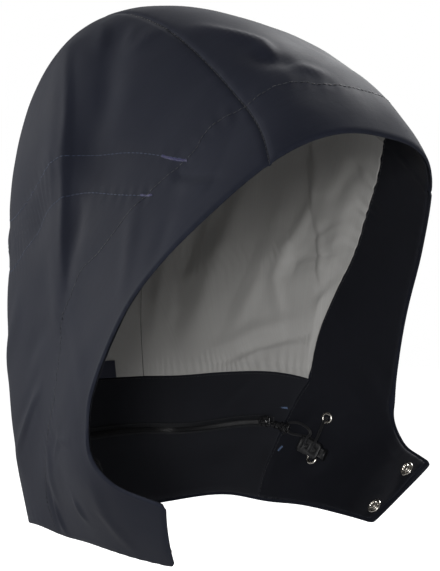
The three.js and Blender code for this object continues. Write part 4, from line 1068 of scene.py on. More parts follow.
def edgeWear():
    group, given, out = startGroup("edgeWear", {"Near": 0.0, "Vector": None, "Amount": 0.5}, ("Mask",))
    patchy = ranged(group, noise(group, given["Vector"], 260.0, 3.0), 0.35, 0.7)
    worn = maths(group, "MULTIPLY", maths(group, "MULTIPLY", given["Near"], patchy), given["Amount"])
    group.links.new(worn, out["Mask"])
    return group


def mouldedGrain():
    group, given, out = startGroup("mouldedGrain", {"Vector": None, "Scale": 2400.0}, ("Height", "Scuff"))
    sockets = {"Vector": given["Vector"], "Scale": (1.0, 4.0, 1.0)}
    stretched = put(group, "ShaderNodeMapping", sockets).outputs[0]
    group.links.new(noise(group, given["Vector"], given["Scale"], 2.0), out["Height"])
    group.links.new(ranged(group, noise(group, stretched, 500.0, 4.0), 0.4, 0.75), out["Scuff"])
    return group


groups = {"weave": wovenThreads(), "mottle": clothMottle(), "wear": edgeWear(), "grain": mouldedGrain()}


def startMaterial(name, **shader):
    material = bpy.data.materials.new(name)
    material.use_nodes = True
    tree = material.node_tree
    base = tree.nodes["Principled BSDF"]
    for key, value in shader.items():
        base.inputs[key.replace("_", " ")].default_value = value
    return material, tree, base


def blended(tree, factor, one, other):
    mix = put(tree, "ShaderNodeMix", data_type="RGBA")
    for key, value in ((0, factor), (6, one), (7, other)):
        if isinstance(value, bpy.types.NodeSocket):
            tree.links.new(value, mix.inputs[key])
        else:
            mix.inputs[key].default_value = value if key == 0 else (*value, 1)
    return mix.outputs[2]


def grouped(tree, key, **inputs):
    return put(tree, "ShaderNodeGroup", inputs, node_tree=groups[key]).outputs


def bumped(tree, height, strength, distance, **more):
    sockets = {"Height": height, "Strength": strength, "Distance": distance, **more}
    return put(tree, "ShaderNodeBump", sockets).outputs[0]


bumps = {"crumple": 0.0012, "threads": 0.00012, "grain": 0.00006}


def clothMaterial(name, finish):
    material, tree, base = startMaterial(name, **finish["shader"])
    uv = put(tree, "ShaderNodeUVMap", uv_map="clothUv").outputs[0]
    place = put(tree, "ShaderNodeTexCoord").outputs["Object"]
    near = put(tree, "ShaderNodeAttribute", attribute_name="edgeNear").outputs["Fac"]
    threads = grouped(tree, "weave", Vector=uv, Threads=finish["threads"], Ribs=finish["ribs"])
    mottle = grouped(tree, "mottle", Vector=place, Scale=finish["mottleScale"], Lint=finish["lint"])
    wear = grouped(tree, "wear", Near=near, Vector=place, Amount=finish["wear"])
    colour = blended(tree, ranged(tree, mottle["Shade"], 0.3, 0.7), finish["dark"], finish["light"])
    thread = ranged(tree, threads["Shade"], 0.2, 0.9, 0.0, finish["contrast"])
    colour = blended(tree, thread, colour, finish["thread"])
    colour = blended(tree, mottle["Lint"], colour, finish["dust"])
    colour = blended(tree, wear["Mask"], colour, finish["worn"])
    tree.links.new(colour, base.inputs["Base Color"])
    rough = ranged(tree, mottle["Shade"], 0.3, 0.7, finish["roughness"] - 0.05, finish["roughness"] + 0.05)
    tree.links.new(rough, base.inputs["Roughness"])
    crumple = bumped(tree, mottle["Crumple"], finish["crumple"], bumps["crumple"])
    bump = bumped(tree, threads["Height"], finish["relief"], bumps["threads"], Normal=crumple)
    tree.links.new(bump, base.inputs["Normal"])
    return material


def hardMaterial(name, finish):
    material, tree, base = startMaterial(name, **finish["shader"])
    place = put(tree, "ShaderNodeTexCoord").outputs["Object"]
    grain = grouped(tree, "grain", Vector=place, Scale=finish["grain"])
    colour = blended(tree, grain["Scuff"], finish["colour"], finish["scuffed"])
    tree.links.new(colour, base.inputs["Base Color"])
    scuffed = finish["roughness"] + finish["scuffRough"]
    rough = ranged(tree, grain["Scuff"], 0.0, 1.0, finish["roughness"], scuffed)
    tree.links.new(rough, base.inputs["Roughness"])
    bump = bumped(tree, grain["Height"], finish["relief"], bumps["grain"])
    tree.links.new(bump, base.inputs["Normal"])
    return material


clothFinishes = {
    "shellCloth": {
        "shader": {"Specular_IOR_Level": 0.08, "Sheen_Weight": 0.02, "Sheen_Roughness": 0.6},
        "dark": (0.0074, 0.0086, 0.0144), "light": (0.0100, 0.0116, 0.0190),
        "thread": (0.0134, 0.0154, 0.0250), "dust": (0.024, 0.026, 0.034), "worn": (0.024, 0.028, 0.042),
        "threads": 1100.0, "ribs": 0.35, "contrast": 0.5, "mottleScale": 14.0, "lint": 0.10, "wear": 0.35,
        "roughness": 0.76, "crumple": 0.10, "relief": 0.35},
    "facingCloth": {
        "shader": {"Specular_IOR_Level": 0.14, "Sheen_Weight": 0.02, "Sheen_Roughness": 0.5},
        "dark": (0.0036, 0.0040, 0.0064), "light": (0.0052, 0.0057, 0.0088),
        "thread": (0.0082, 0.0089, 0.0132), "dust": (0.025, 0.027, 0.035), "worn": (0.022, 0.025, 0.036),
        "threads": 1250.0, "ribs": 0.3, "contrast": 0.4, "mottleScale": 16.0, "lint": 0.08, "wear": 0.30,
        "roughness": 0.80, "crumple": 0.10, "relief": 0.3},
    # The neck facing is the facing's own cloth, painted about half again lighter: painted light where the
    # lamps fall on the nape
    "litNeckFacingCloth": {
        "shader": {"Specular_IOR_Level": 0.16, "Sheen_Weight": 0.03, "Sheen_Roughness": 0.5},
        "dark": (0.0066, 0.0071, 0.0098), "light": (0.0088, 0.0094, 0.0128),
        "thread": (0.0125, 0.0134, 0.0178), "dust": (0.025, 0.027, 0.035), "worn": (0.026, 0.028, 0.038),
        "threads": 1250.0, "ribs": 0.3, "contrast": 0.4, "mottleScale": 16.0, "lint": 0.08, "wear": 0.30,
        "roughness": 0.80, "crumple": 0.10, "relief": 0.3},
    "liningCloth": {
        "shader": {"Specular_IOR_Level": 0.25, "Sheen_Weight": 0.05, "Sheen_Roughness": 0.4},
        "dark": (0.285, 0.281, 0.273), "light": (0.340, 0.335, 0.325), "thread": (0.400, 0.393, 0.381),
        "dust": (0.38, 0.37, 0.36), "worn": (0.43, 0.42, 0.41), "threads": 640.0, "ribs": 0.85,
        "contrast": 0.45, "mottleScale": 10.0, "lint": 0.05, "wear": 0.3, "roughness": 0.48,
        "crumple": 0.06, "relief": 0.35},
    "labelCloth": {
        "shader": {"Specular_IOR_Level": 0.45, "Sheen_Weight": 0.05, "Sheen_Roughness": 0.4},
        "dark": (0.0040, 0.0055, 0.0190), "light": (0.0055, 0.0075, 0.0240),
        "thread": (0.009, 0.012, 0.034), "dust": (0.03, 0.03, 0.05), "worn": (0.03, 0.035, 0.06),
        "threads": 1900.0, "ribs": 0.8, "contrast": 0.5, "mottleScale": 30.0, "lint": 0.05, "wear": 0.3,
        "roughness": 0.42, "crumple": 0.04, "relief": 0.3},
    "zipTapeCloth": {
        "shader": {"Specular_IOR_Level": 0.2, "Sheen_Weight": 0.05, "Sheen_Roughness": 0.5},
        "dark": (0.0035, 0.0038, 0.0052), "light": (0.0048, 0.0052, 0.0070),
        "thread": (0.0085, 0.0090, 0.0115), "dust": (0.022, 0.022, 0.028), "worn": (0.016, 0.016, 0.020),
        "threads": 1300.0, "ribs": 0.6, "contrast": 0.5, "mottleScale": 30.0, "lint": 0.06, "wear": 0.25,
        "roughness": 0.6, "crumple": 0.03, "relief": 0.5},
}
hardFinishes = {
    "zipPlastic": {
        "shader": {"Specular_IOR_Level": 0.3}, "colour": (0.0035, 0.0036, 0.0042),
        "scuffed": (0.010, 0.010, 0.012), "roughness": 0.32, "scuffRough": 0.15, "grain": 2600.0,
        "relief": 0.15},
    "sliderEnamel": {
        "shader": {"Specular_IOR_Level": 0.6, "Coat_Weight": 0.4, "Coat_Roughness": 0.15},
        "colour": (0.006, 0.006, 0.0065), "scuffed": (0.02, 0.02, 0.022), "roughness": 0.22,
        "scuffRough": 0.2, "grain": 1800.0, "relief": 0.08},
    "lockPlastic": {
        "shader": {"Specular_IOR_Level": 0.3}, "colour": (0.0050, 0.0051, 0.0058),
        "scuffed": (0.012, 0.012, 0.014), "roughness": 0.40, "scuffRough": 0.15, "grain": 3000.0,
        "relief": 0.3},
    "nickelPlate": {
        "shader": {"Metallic": 1.0}, "colour": (0.62, 0.59, 0.54), "scuffed": (0.45, 0.42, 0.38),
        "roughness": 0.20, "scuffRough": 0.2, "grain": 900.0, "relief": 0.06},
    "cordBraid": {
        "shader": {"Specular_IOR_Level": 0.2, "Sheen_Weight": 0.08}, "colour": (0.0045, 0.0047, 0.0056),
        "scuffed": (0.017, 0.017, 0.020), "roughness": 0.62, "scuffRough": 0.1, "grain": 5200.0,
        "relief": 0.6},
    "navyThread": {
        "shader": {"Specular_IOR_Level": 0.15, "Sheen_Weight": 0.05}, "colour": (0.026, 0.037, 0.068),
        "scuffed": (0.045, 0.062, 0.105), "roughness": 0.45, "scuffRough": 0.1, "grain": 7000.0,
        "relief": 0.4},
    "darkThread": {
        "shader": {"Specular_IOR_Level": 0.4, "Sheen_Weight": 0.1}, "colour": (0.004, 0.0045, 0.007),
        "scuffed": (0.012, 0.014, 0.020), "roughness": 0.5, "scuffRough": 0.1, "grain": 7000.0,
        "relief": 0.4},
    "blueThread": {
        "shader": {"Specular_IOR_Level": 0.45, "Sheen_Weight": 0.15}, "colour": (0.055, 0.095, 0.190),
        "scuffed": (0.12, 0.18, 0.30), "roughness": 0.42, "scuffRough": 0.1, "grain": 7000.0, "relief": 0.4},
    "purpleThread": {
        "shader": {"Specular_IOR_Level": 0.45, "Sheen_Weight": 0.15}, "colour": (0.018, 0.017, 0.070),
        "scuffed": (0.035, 0.034, 0.120), "roughness": 0.42, "scuffRough": 0.1, "grain": 7000.0,
        "relief": 0.4},
}
materials = {name: clothMaterial(name, finish) for name, finish in clothFinishes.items()}
materials.update({name: hardMaterial(name, finish) for name, finish in hardFinishes.items()})


def dress(piece, material, body="root", nodes=()):
    piece.data.materials.clear()
    piece.data.materials.append(materials[material])
    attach(piece, body)
    if nodes:
        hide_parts(*nodes)
    return piece


# Thread: short stitches laid on the cloth, each a thin rod whose ends dip into it
sewing = {"length": 2.6 * mm, "gap": 0.6 * mm, "radius": 0.20 * mm, "stand": 0.12 * mm, "dip": 0.24 * mm,
          "sides": 5, "fromEdge": 1.6 * mm, "tackPitch": 0.42 * mm, "tackRadius": 0.17 * mm}


def shellFace(across, down):
    return shellSurface(across, down, 0.0)


def innerFaceOf(lift, base=layers["inside"], wall=layers["lining"]):
    def at(across, down):
        places, normal = insideSurface(lift, base)(across, down, wall)
        return places, -normal

    return at


# Rows of four places for each stitch, along a line of across and down
def stitchRow(curve):
    run = runAlong(skin(curve[:, 0], curve[:, 1]))
    count = max(int(run[-1] / (sewing["length"] + sewing["gap"])), 1)
    middles = (np.arange(count) + 0.5) * run[-1] / count
    at = middles[:, None] + sewing["length"] * np.array([-0.5, -0.33, 0.33, 0.5])
    at = np.clip(at, 0, run[-1])
    return np.interp(at, run, curve[:, 0]), np.interp(at, run, curve[:, 1])


# A bar tack: threads packed side by side across a short line
def tackRow(curve, width, slant=0.35):
    points = skin(curve[:, 0], curve[:, 1])
    run = runAlong(points)
    at = np.arange(0, run[-1], sewing["tackPitch"])
    c, d = np.interp(at, run, curve[:, 0]), np.interp(at, run, curve[:, 1])
    stepC, stepD = np.gradient(c), np.gradient(d)
    length = sidePanelLength(d)
    perDown = 1 / downStep(c, d, 1.0)
    alongC, alongD = stepC * length, stepD * perDown
    size = np.hypot(alongC, alongD)
    acrossC, acrossD = -alongD / size, alongC / size
    swing = np.where(np.arange(len(at)) % 2 == 0, 1, -1) * slant
    spots = width * np.array([-0.5, -0.3, 0.3, 0.5])
    offC = spots * (acrossC + swing * alongC / size)[:, None]
    offD = spots * (acrossD + swing * alongD / size)[:, None]
    return c[:, None] + offC / length[:, None], d[:, None] + offD / perDown[:, None]


def threadPiece(name, rows, radius=sewing["radius"]):
    rings, sides = [], sewing["sides"]
    turn = (np.arange(sides) * 2 * math.pi / sides)[:, None]
    heights = np.array([-sewing["dip"], sewing["stand"], sewing["stand"], -sewing["dip"]])
    for (across, down), face in rows:
        places, normal = face(across.ravel(), down.ravel())
        places, normal = places.reshape(*across.shape, 3), normal.reshape(*across.shape, 3)
        middle = places + normal * heights[None, :, None]
        way = middle[:, -1] - middle[:, 0]
        way /= np.linalg.norm(way, axis=1, keepdims=True)
        aside = np.cross(normal, way[:, None, :])
        aside /= np.linalg.norm(aside, axis=2, keepdims=True)
        upward = np.cross(way[:, None, :], aside)
        ring = np.cos(turn) * aside[:, :, None, :] + np.sin(turn) * upward[:, :, None, :]
        rings.append((middle[:, :, None, :] + radius * ring).reshape(-1, 3))
    places = np.concatenate(rings)
    one = ringFaces(4, sides) + [list(range(sides))[::-1], list(range(3 * sides, 4 * sides))]
    starts = range(0, len(places), 4 * sides)
    faces = [[corner + first for corner in face] for first in starts for face in one]
    return makeMesh(name, places, faces)


def rowsOn(face, *curves):
    return [(stitchRow(curve), face) for curve in curves]


facingFace, neckFace = innerFaceOf(facingLift), innerFaceOf(neckLift)
tapeFace = innerFaceOf(tapeLift, layers["innerFace"], zipParts["tapeWall"])
shellRows = rowsOn(shellFace, *(sewnShell[key]["curve"] for key in ("channelUpper", "channelLower")))
edgeRows = rowsOn(shellFace, *(sewnShell[key]["curve"] for key in ("facing", "seamRight", "seamLeft")))


def besideNeckSeam(gap, end=0.97):
    across = np.linspace(-linkCorner[1] * end, linkCorner[1] * end, 500)
    top = neckDown(across)
    return np.c_[across, top + downStep(across, top, gap)]


def besideFacing(gap):
    curve, _ = smoothLine(acrossBoth(facingInner))
    return np.c_[curve[:, 0], curve[:, 1] - downStep(curve[:, 0], curve[:, 1], gap)]


def besideEdge(side, gap):
    drops = np.linspace(0.03, 0.985, 160)
    across = neckEdge(drops) + acrossStep(linkCorner[2] + (1 - linkCorner[2]) * drops, gap)
    return np.c_[side * across, linkCorner[2] + (1 - linkCorner[2]) * drops]


gap = sewing["fromEdge"]
facingRows = rowsOn(facingFace, besideFacing(gap), besideEdge(-1, gap), besideEdge(1, gap))
neckRows = rowsOn(neckFace, besideNeckSeam(gap))
neckRows += rowsOn(tapeFace, *(zipCurve(way * 0.40 * zipParts["tapeWidth"]) for way in (-1, 1)))
tacks = {
    "purpleTacks": [([(0.358, 0.212), (0.345, 0.190), (0.330, 0.170)], 2.0, shellFace),
                    ([(0.428, 0.216), (0.421, 0.206), (0.412, 0.194)], 1.5, shellFace)],
    "innerTacks": [([(0.607, 0.787), (0.630, 0.769), (0.653, 0.750)], 1.6, facingFace),
                   ([(0.628, 0.889), (0.634, 0.880), (0.640, 0.872)], 1.6, facingFace)],
}


def sewTacks(key):
    rows = []
    for places, width, face in tacks[key]:
        for side in (-1, 1):
            curve, _ = smoothLine([(side * c, d) for c, d in places], 0.0001)
            rows.append((tackRow(curve, width * mm), face))
    return threadPiece(key, rows, sewing["tackRadius"])


threads = {
    "shellStitching": (threadPiece("shellStitching", shellRows), "navyThread", "shell_cloth"),
    "edgeStitching": (threadPiece("edgeStitching", edgeRows), "darkThread", "shell_cloth"),
    "facingStitching": (threadPiece("facingStitching", facingRows + neckRows), "darkThread", "facing_cloth"),
    "purpleTacks": (sewTacks("purpleTacks"), "purpleThread", "shell_cloth"),
    "innerTacks": (sewTacks("innerTacks"), "blueThread", "facing_cloth"),
}
for piece, material, slot in threads.values():
    dress(piece, material)
print("seams stitched")


# Hard pieces, shaped in edit mode. Faces and edges are picked by where they are.
def startFrom(primitive, name, **settings):
    bpy.ops.object.select_all(action="DESELECT")
    primitive(**settings)
    bpy.ops.object.transform_apply(location=True, rotation=True, scale=True)
    piece = bpy.context.active_object
    piece.name = piece.data.name = name
    return piece


def block(name, low, high):
    size = [(b - a) * mm for a, b in zip(low, high)]
    middle = [(b + a) / 2 * mm for a, b in zip(low, high)]
    return startFrom(bpy.ops.mesh.primitive_cube_add, name, size=1, location=middle, scale=size)


def drill(name, radius, x, y, depth, z=0.0, sides=32):
    return startFrom(bpy.ops.mesh.primitive_cylinder_add, name, vertices=sides, radius=radius * mm,
                     depth=depth * mm, location=(x * mm, y * mm, z * mm))


def pick(piece, kind, test):
    bpy.ops.mesh.select_mode(type=kind.upper())
    bpy.ops.mesh.select_all(action="DESELECT")
    shape = bmesh.from_edit_mesh(piece.data)
    for part in {"vert": shape.verts, "edge": shape.edges, "face": shape.faces}[kind]:
        middle = part.co if kind == "vert" else sum((v.co for v in part.verts), Vector()) / len(part.verts)
        if test(part, middle / mm):
            part.select_set(True)
    shape.select_flush_mode()
    bmesh.update_edit_mesh(piece.data)


def bevelEdges(piece, test, offset, segments):
    pick(piece, "edge", test)
    bpy.ops.mesh.bevel(offset=offset * mm, segments=segments, affect="EDGES")


# Cut across at some places along its length, and narrowed at some
def waisted(piece, cuts, shares):
    for x in cuts:
        bpy.ops.mesh.select_all(action="SELECT")
        bpy.ops.mesh.bisect(plane_co=(x * mm, 0, 0), plane_no=(1, 0, 0))
    for x, share in shares:
        pick(piece, "vert", lambda _, at: abs(at.x - x) < 0.01)
        bpy.ops.transform.resize(value=(1, share, 1))


def upright(edge, _):
    run = edge.verts[1].co - edge.verts[0].co
    return abs(run.z) > 0.9 * run.length


def useOn(piece):
    bpy.ops.object.select_all(action="DESELECT")
    piece.select_set(True)
    bpy.context.view_layer.objects.active = piece


def cutAway(piece, *cutters):
    for cutter in cutters:
        modifier = piece.modifiers.new("cut", "BOOLEAN")
        modifier.object, modifier.operation, modifier.solver = cutter, "DIFFERENCE", "EXACT"
        useOn(piece)
        bpy.ops.object.modifier_apply(modifier="cut")
        bpy.data.objects.remove(cutter)


def joined(name, *parts):
    bpy.ops.object.select_all(action="DESELECT")
    for part in parts:
        part.select_set(True)
    bpy.context.view_layer.objects.active = parts[0]
    if len(parts) > 1:
        bpy.ops.object.join()
    parts[0].name = parts[0].data.name = name
    return parts[0]


def finishedShape(piece, soften=0.12, angle=32):
    useOn(piece)
    if soften:
        modifier = piece.modifiers.new("soften", "BEVEL")
        modifier.width, modifier.segments = soften * mm, 2
        modifier.limit_method, modifier.angle_limit = "ANGLE", math.radians(35)
        bpy.ops.object.modifier_apply(modifier="soften")
    bpy.ops.object.shade_smooth_by_angle(angle=math.radians(angle))
    return piece


def turnedPiece(name, rings, sides=48, ring=False):
    piece = startFrom(bpy.ops.mesh.primitive_circle_add, name, vertices=sides, radius=rings[0][0] * mm,
                      location=(0, 0, rings[0][1] * mm))
    bpy.ops.object.mode_set(mode="EDIT")
    bpy.ops.mesh.select_all(action="SELECT")
    for (r0, z0), (r1, z1) in zip(rings, rings[1:]):
        bpy.ops.mesh.extrude_region_move(TRANSFORM_OT_translate={"value": (0, 0, (z1 - z0) * mm)})
        bpy.ops.transform.resize(value=(r1 / r0, r1 / r0, 1), center_override=(0, 0, z1 * mm))
    bpy.ops.mesh.select_mode(type="EDGE")
    bpy.ops.mesh.select_all(action="DESELECT")
    bpy.ops.mesh.select_non_manifold()
    if ring:
        bpy.ops.mesh.bridge_edge_loops()
    else:
        bpy.ops.mesh.fill_holes(sides=sides)
    bpy.ops.mesh.select_all(action="SELECT")
    bpy.ops.mesh.normals_make_consistent(inside=False)
    bpy.ops.object.mode_set(mode="OBJECT")
    return piece


def settled(piece, matrix):
    piece.matrix_world = matrix
    useOn(piece)
    bpy.ops.object.transform_apply(location=True, rotation=True, scale=True)
    return piece


def copyOf(piece, name):
    twin = piece.copy()
    twin.data = piece.data.copy()
    twin.name = twin.data.name = name
    bpy.context.scene.collection.objects.link(twin)
    return twin


# Radius and height of each ring, in millimetres
eyeletRings = [(2.3, -1.3), (2.9, -1.3), (2.95, -0.1), (4.35, -0.05), (4.55, 0.08), (4.6, 0.28), (4.5, 0.52),
               (4.25, 0.78), (3.9, 0.98), (3.5, 1.08), (3.15, 1.04), (2.85, 0.88), (2.6, 0.6), (2.42, 0.2),
               (2.32, -0.4)]
studRings = [(4.9, 0.0), (5.2, 0.12), (5.3, 0.35), (5.24, 0.68), (5.02, 0.98), (4.7, 1.12), (4.35, 1.05),
             (4.0, 0.78), (3.6, 0.68), (3.3, 0.78), (3.08, 1.15), (2.98, 1.7), (3.05, 2.15), (3.0, 2.5),
             (2.75, 2.74), (2.4, 2.8), (2.1, 2.68), (1.9, 2.35), (1.78, 1.8), (1.5, 1.52), (1.0, 1.44),
             (0.4, 1.42)]
models = {"eyelet": finishedShape(turnedPiece("eyelet", eyeletRings, ring=True), 0, 40),
          "stud": finishedShape(turnedPiece("stud", studRings), 0, 40)}
for (kind, sideName, level), (at, _) in trimSeats.items():
    name = kind + sideName.capitalize() + level.capitalize()
    piece = settled(copyOf(models[kind], name), at)
    dress(piece, "nickelPlate", nodes=(f"{kind}_{sideName}_{level}",))
for model in models.values():
    bpy.data.objects.remove(model)

# Cord lock and its plunger, in millimetres in the lock's own frame
lock = {"length": 18.0, "width": 12.5, "thick": 7.5, "corner": 3.0, "edge": 0.9, "holes": (-2.24, 4.76),
        "hole": 1.5, "stemWidth": 6.9, "stemThick": 3.9, "slide": 0.3, "wall": 1.5, "travel": 2.5,
        "head": 4.4, "headThick": 2.2, "place": (0.744, 0.811), "lift": 11 * mm, "dip": 0.33, "turn": 0.25,
        "grips": (-5.6, -3.9, -2.2, -0.5), "gripSize": (0.8, 0.45, 1.9), "dish": 0.55, "dishDeep": 0.8,
        "panels": ((-7.6, -5.0, 2.6), (0.2, 2.3, 3.2)), "panelDeep": 0.35}


def lockBody():
    half = (lock["length"] / 2, lock["width"] / 2, lock["thick"] / 2)
    piece = block("lockBody", [-h for h in half], half)
    bpy.ops.object.mode_set(mode="EDIT")
    bevelEdges(piece, upright, lock["corner"], 6)
    bevelEdges(piece, lambda _, at: abs(at.z) > 0.49 * lock["thick"], lock["edge"], 4)
    bpy.ops.object.mode_set(mode="OBJECT")
    room = (lock["stemWidth"] / 2 + lock["slide"], lock["stemThick"] / 2 + lock["slide"])
    low = (-half[0] + lock["wall"], -room[0], -room[1])
    cutAway(piece, block("bore", low, (half[0] + 2, room[0], room[1])))
    for x in lock["holes"]:
        cutAway(piece, drill("cordHole", lock["hole"], x, 0, 20))
        for face in (-1, 1):
            cutAway(piece, drill("dish", lock["hole"] + lock["dish"], x, 0, lock["dishDeep"], face * half[2]))
    long, deep, high = lock["gripSize"]
    for x in lock["grips"]:
        for y in (-half[1], half[1]):
            cutAway(piece, block("grip", (x, y - deep, -high), (x + long, y + deep, high)))
    deep = lock["panelDeep"]
    for z in (-half[2], half[2]):
        for start, stop, wide in lock["panels"]:
            cutAway(piece, block("panel", (start, -wide, z - deep), (stop, wide, z + deep)))
    return finishedShape(piece)


def lockPlunger():
    back = -lock["length"] / 2 + lock["wall"] + lock["travel"] + lock["slide"]
    front = lock["length"] / 2 + lock["travel"] + lock["slide"]
    stem = block("stem", (back, -lock["stemWidth"] / 2, -lock["stemThick"] / 2),
                 (front + 0.5, lock["stemWidth"] / 2, lock["stemThick"] / 2))
    for x in lock["holes"]:
        cutAway(stem, block("slot", (x - lock["hole"], -lock["hole"], -5),
                            (x + lock["hole"] + lock["travel"], lock["hole"], 5)))
    finishedShape(stem, 0.3)
    r, t = lock["head"], lock["headThick"]
    rings = [(r - 1.6, 0), (r - 0.25, 0.0), (r, 0.25), (r, t * 0.35), (r - 0.12, t * 0.42),
             (r - 0.12, t * 0.5), (r, t * 0.57), (r, t * 0.75), (r - 0.15, t * 0.9), (r - 0.5, t),
             (r - 1.1, t), (r - 1.4, t - 0.3), (r - 2.6, t - 0.35), (0.6, t - 0.35)]
    head = finishedShape(turnedPiece("head", rings), 0)
    settled(head, Matrix.Translation((front * mm, 0, 0)) @ Matrix.Rotation(math.pi / 2, 4, "Y"))
    return joined("lockPlunger", stem, head)


def lockMatrix(side):
    origin, forward, upward, inward = seatWays(side * lock["place"][0], lock["place"][1], lock["lift"])
    dipped = forward * math.cos(lock["dip"]) - upward * math.sin(lock["dip"])
    along = (dipped * math.cos(lock["turn"]) - inward * math.sin(lock["turn"])).normalized()
    face = (inward - along * inward.dot(along)).normalized()
    return seatMatrix(origin, along, face)


body, plunger = lockBody(), lockPlunger()
locks = {}
for sideName, side in (("Right", -1), ("Left", 1)):
    at = lockMatrix(side)
    locks[sideName] = (settled(copyOf(body, "cordLock" + sideName), at),
                       settled(copyOf(plunger, "lockPlunger" + sideName), at))
    dress(locks[sideName][0], "lockPlastic", nodes=("cord_lock_" + sideName.lower(),))
    dress(locks[sideName][1], "lockPlastic", "plunger_" + sideName.lower(),
          ("lock_plunger_" + sideName.lower(),))
for model in (body, plunger):
    bpy.data.objects.remove(model)

# Zip slider and pull, in millimetres in the slider's frame
slider = {"length": 11.0, "width": 8.0, "height": 3.6, "pullStart": 6.82, "pullLength": 17.0,
          "pullWidth": 6.0, "pullWall": 1.6, "eye": 1.5, "eyeFromEnd": 3.0, "dip": 0.2, "pullLift": 0.3,
          "link": (5.2, 0, 1.7), "linkRadius": 3.1, "linkWire": 0.42}


def zipSlider():
    half, wide = slider["length"] / 2, slider["width"] / 2
    plate = block("zipSlider", (-half, -wide, -0.3), (half, wide, 1.7))
    bpy.ops.object.mode_set(mode="EDIT")
    waisted(plate, (-0.4 * half, 0.4 * half), ((-half, 0.6), (-0.4 * half, 0.8), (half, 0.84)))
    bevelEdges(plate, upright, 0.9, 4)
    bevelEdges(plate, lambda _, at: at.z > 1.69 or at.z < -0.29, 0.35, 3)
    bpy.ops.object.mode_set(mode="OBJECT")
    arch = block("arch", (-3.4, -1.12, 1.2), (3.3, 1.12, slider["height"] - 0.5))
    bpy.ops.object.mode_set(mode="EDIT")
    bevelEdges(arch, lambda edge, at: at.z > 2.9 and abs(at.x) > 3, 1.2, 5)
    bpy.ops.object.mode_set(mode="OBJECT")
    cutAway(arch, block("room", (-2.1, -3, 1.0), (2.5, 3, 2.3)))
    finishedShape(arch, 0.25)
    return joined("zipSlider", finishedShape(plate, 0), arch)


def zipPull():
    start, length, wide = slider["pullStart"], slider["pullLength"], slider["pullWidth"] / 2
    stop = start + length
    tab = block("zipPull", (start, -wide, 0), (stop, wide, slider["pullWall"]))
    bpy.ops.object.mode_set(mode="EDIT")
    shoulders = [start + length * share for share in (0.25, 0.5, 0.62, 0.93)]
    waisted(tab, shoulders, ((start, 0.55), (shoulders[0], 0.72), (shoulders[1], 0.66), (stop, 0.62)))
    bevelEdges(tab, upright, 0.9, 4)
    bevelEdges(tab, lambda _, at: at.z > slider["pullWall"] - 0.01 or at.z < 0.01, 0.4, 3)
    bpy.ops.object.mode_set(mode="OBJECT")
    cutAway(tab, drill("eye", slider["eye"], stop - slider["eyeFromEnd"], 0, 8),
            drill("linkHole", 0.8, start + 1.5, 0, 8),
            block("recess", (start + 3.4, -1.1, 1.2), (start + 8.4, 1.1, 3)))
    middle = [place * mm for place in slider["link"]]
    link = startFrom(bpy.ops.mesh.primitive_torus_add, "link", major_radius=slider["linkRadius"] * mm,
                     minor_radius=slider["linkWire"] * mm, major_segments=40, minor_segments=10,
                     location=middle)
    bpy.ops.object.mode_set(mode="EDIT")
    bpy.ops.mesh.select_all(action="SELECT")
    bpy.ops.transform.resize(value=(1, 0.5, 1), center_override=middle)
    pick(link, "vert", lambda _, at: at.x > 6.2)
    bpy.ops.transform.translate(value=(0, 0, 0.2 * mm))
    bpy.ops.object.mode_set(mode="OBJECT")
    return joined("zipPull", finishedShape(tab, 0.1), finishedShape(link, 0))


along, drop = neckPlace(zipParts["sliderAt"], zipDrop(zipParts["sliderAt"])[0])
origin, forward, _, inward = seatWays(float(along), float(drop), zipParts["sliderLift"])
sliderSeat = seatMatrix(origin, forward, inward)
dress(settled(zipSlider(), sliderSeat), "sliderEnamel", nodes=("zip_slider",))
lifted = Matrix.Translation((0, 0, slider["pullLift"] * mm))
pullSeat = sliderSeat @ lifted @ Matrix.Rotation(-slider["dip"], 4, "Z")
dress(settled(zipPull(), pullSeat), "sliderEnamel", nodes=("zip_pull",))


# One tooth of the zip's coil, copied along the tape
def coilTooth():
    tooth = block("tooth", (-0.42, -1.7, 0.0), (0.42, 1.7, 1.3))
    bpy.ops.object.mode_set(mode="EDIT")
    bevelEdges(tooth, lambda edge, at: at.z > 1.2 or upright(edge, at), 0.3, 1)
    bpy.ops.object.mode_set(mode="OBJECT")
    return tooth


def zipCoil():
    tooth = coilTooth()
    shape = np.array([v.co for v in tooth.data.vertices])
    toothFaces = [list(p.vertices) for p in tooth.data.polygons]
    bpy.data.objects.remove(tooth)
    curve = zipCurve(zipParts["coilOffset"])
    run = runAlong(skin(curve[:, 0], curve[:, 1]))
    at = np.arange(0.001, run[-1] - 0.001, zipParts["toothPitch"] / 2)
    across, down = np.interp(at, run, curve[:, 0]), np.interp(at, run, curve[:, 1])
    coilSurface = insideSurface(lambda *_: zipParts["coilLift"] + 0.02 * mm, layers["innerFace"])
    foot, normal = coilSurface(across, down, 0.0)
    way = np.gradient(foot, axis=0)
    way /= np.linalg.norm(way, axis=1, keepdims=True)
    aside = np.cross(-normal, way)
    places, faces = [], []
    for k in range(len(at)):
        shift = (0.42 if k % 2 else -0.42) * mm
        spot = shape + np.array([0, shift, 0])
        places.append(foot[k] + spot[:, :1] * way[k] + spot[:, 1:2] * aside[k] - spot[:, 2:] * normal[k])
        faces += [[corner + k * len(shape) for corner in face] for face in toothFaces]
    piece = makeMesh("zipCoil", np.concatenate(places), faces)
    return finishedShape(piece, 0, 30)


dress(zipCoil(), "zipPlastic", nodes=("zip_coil",))
print("trims modelled")

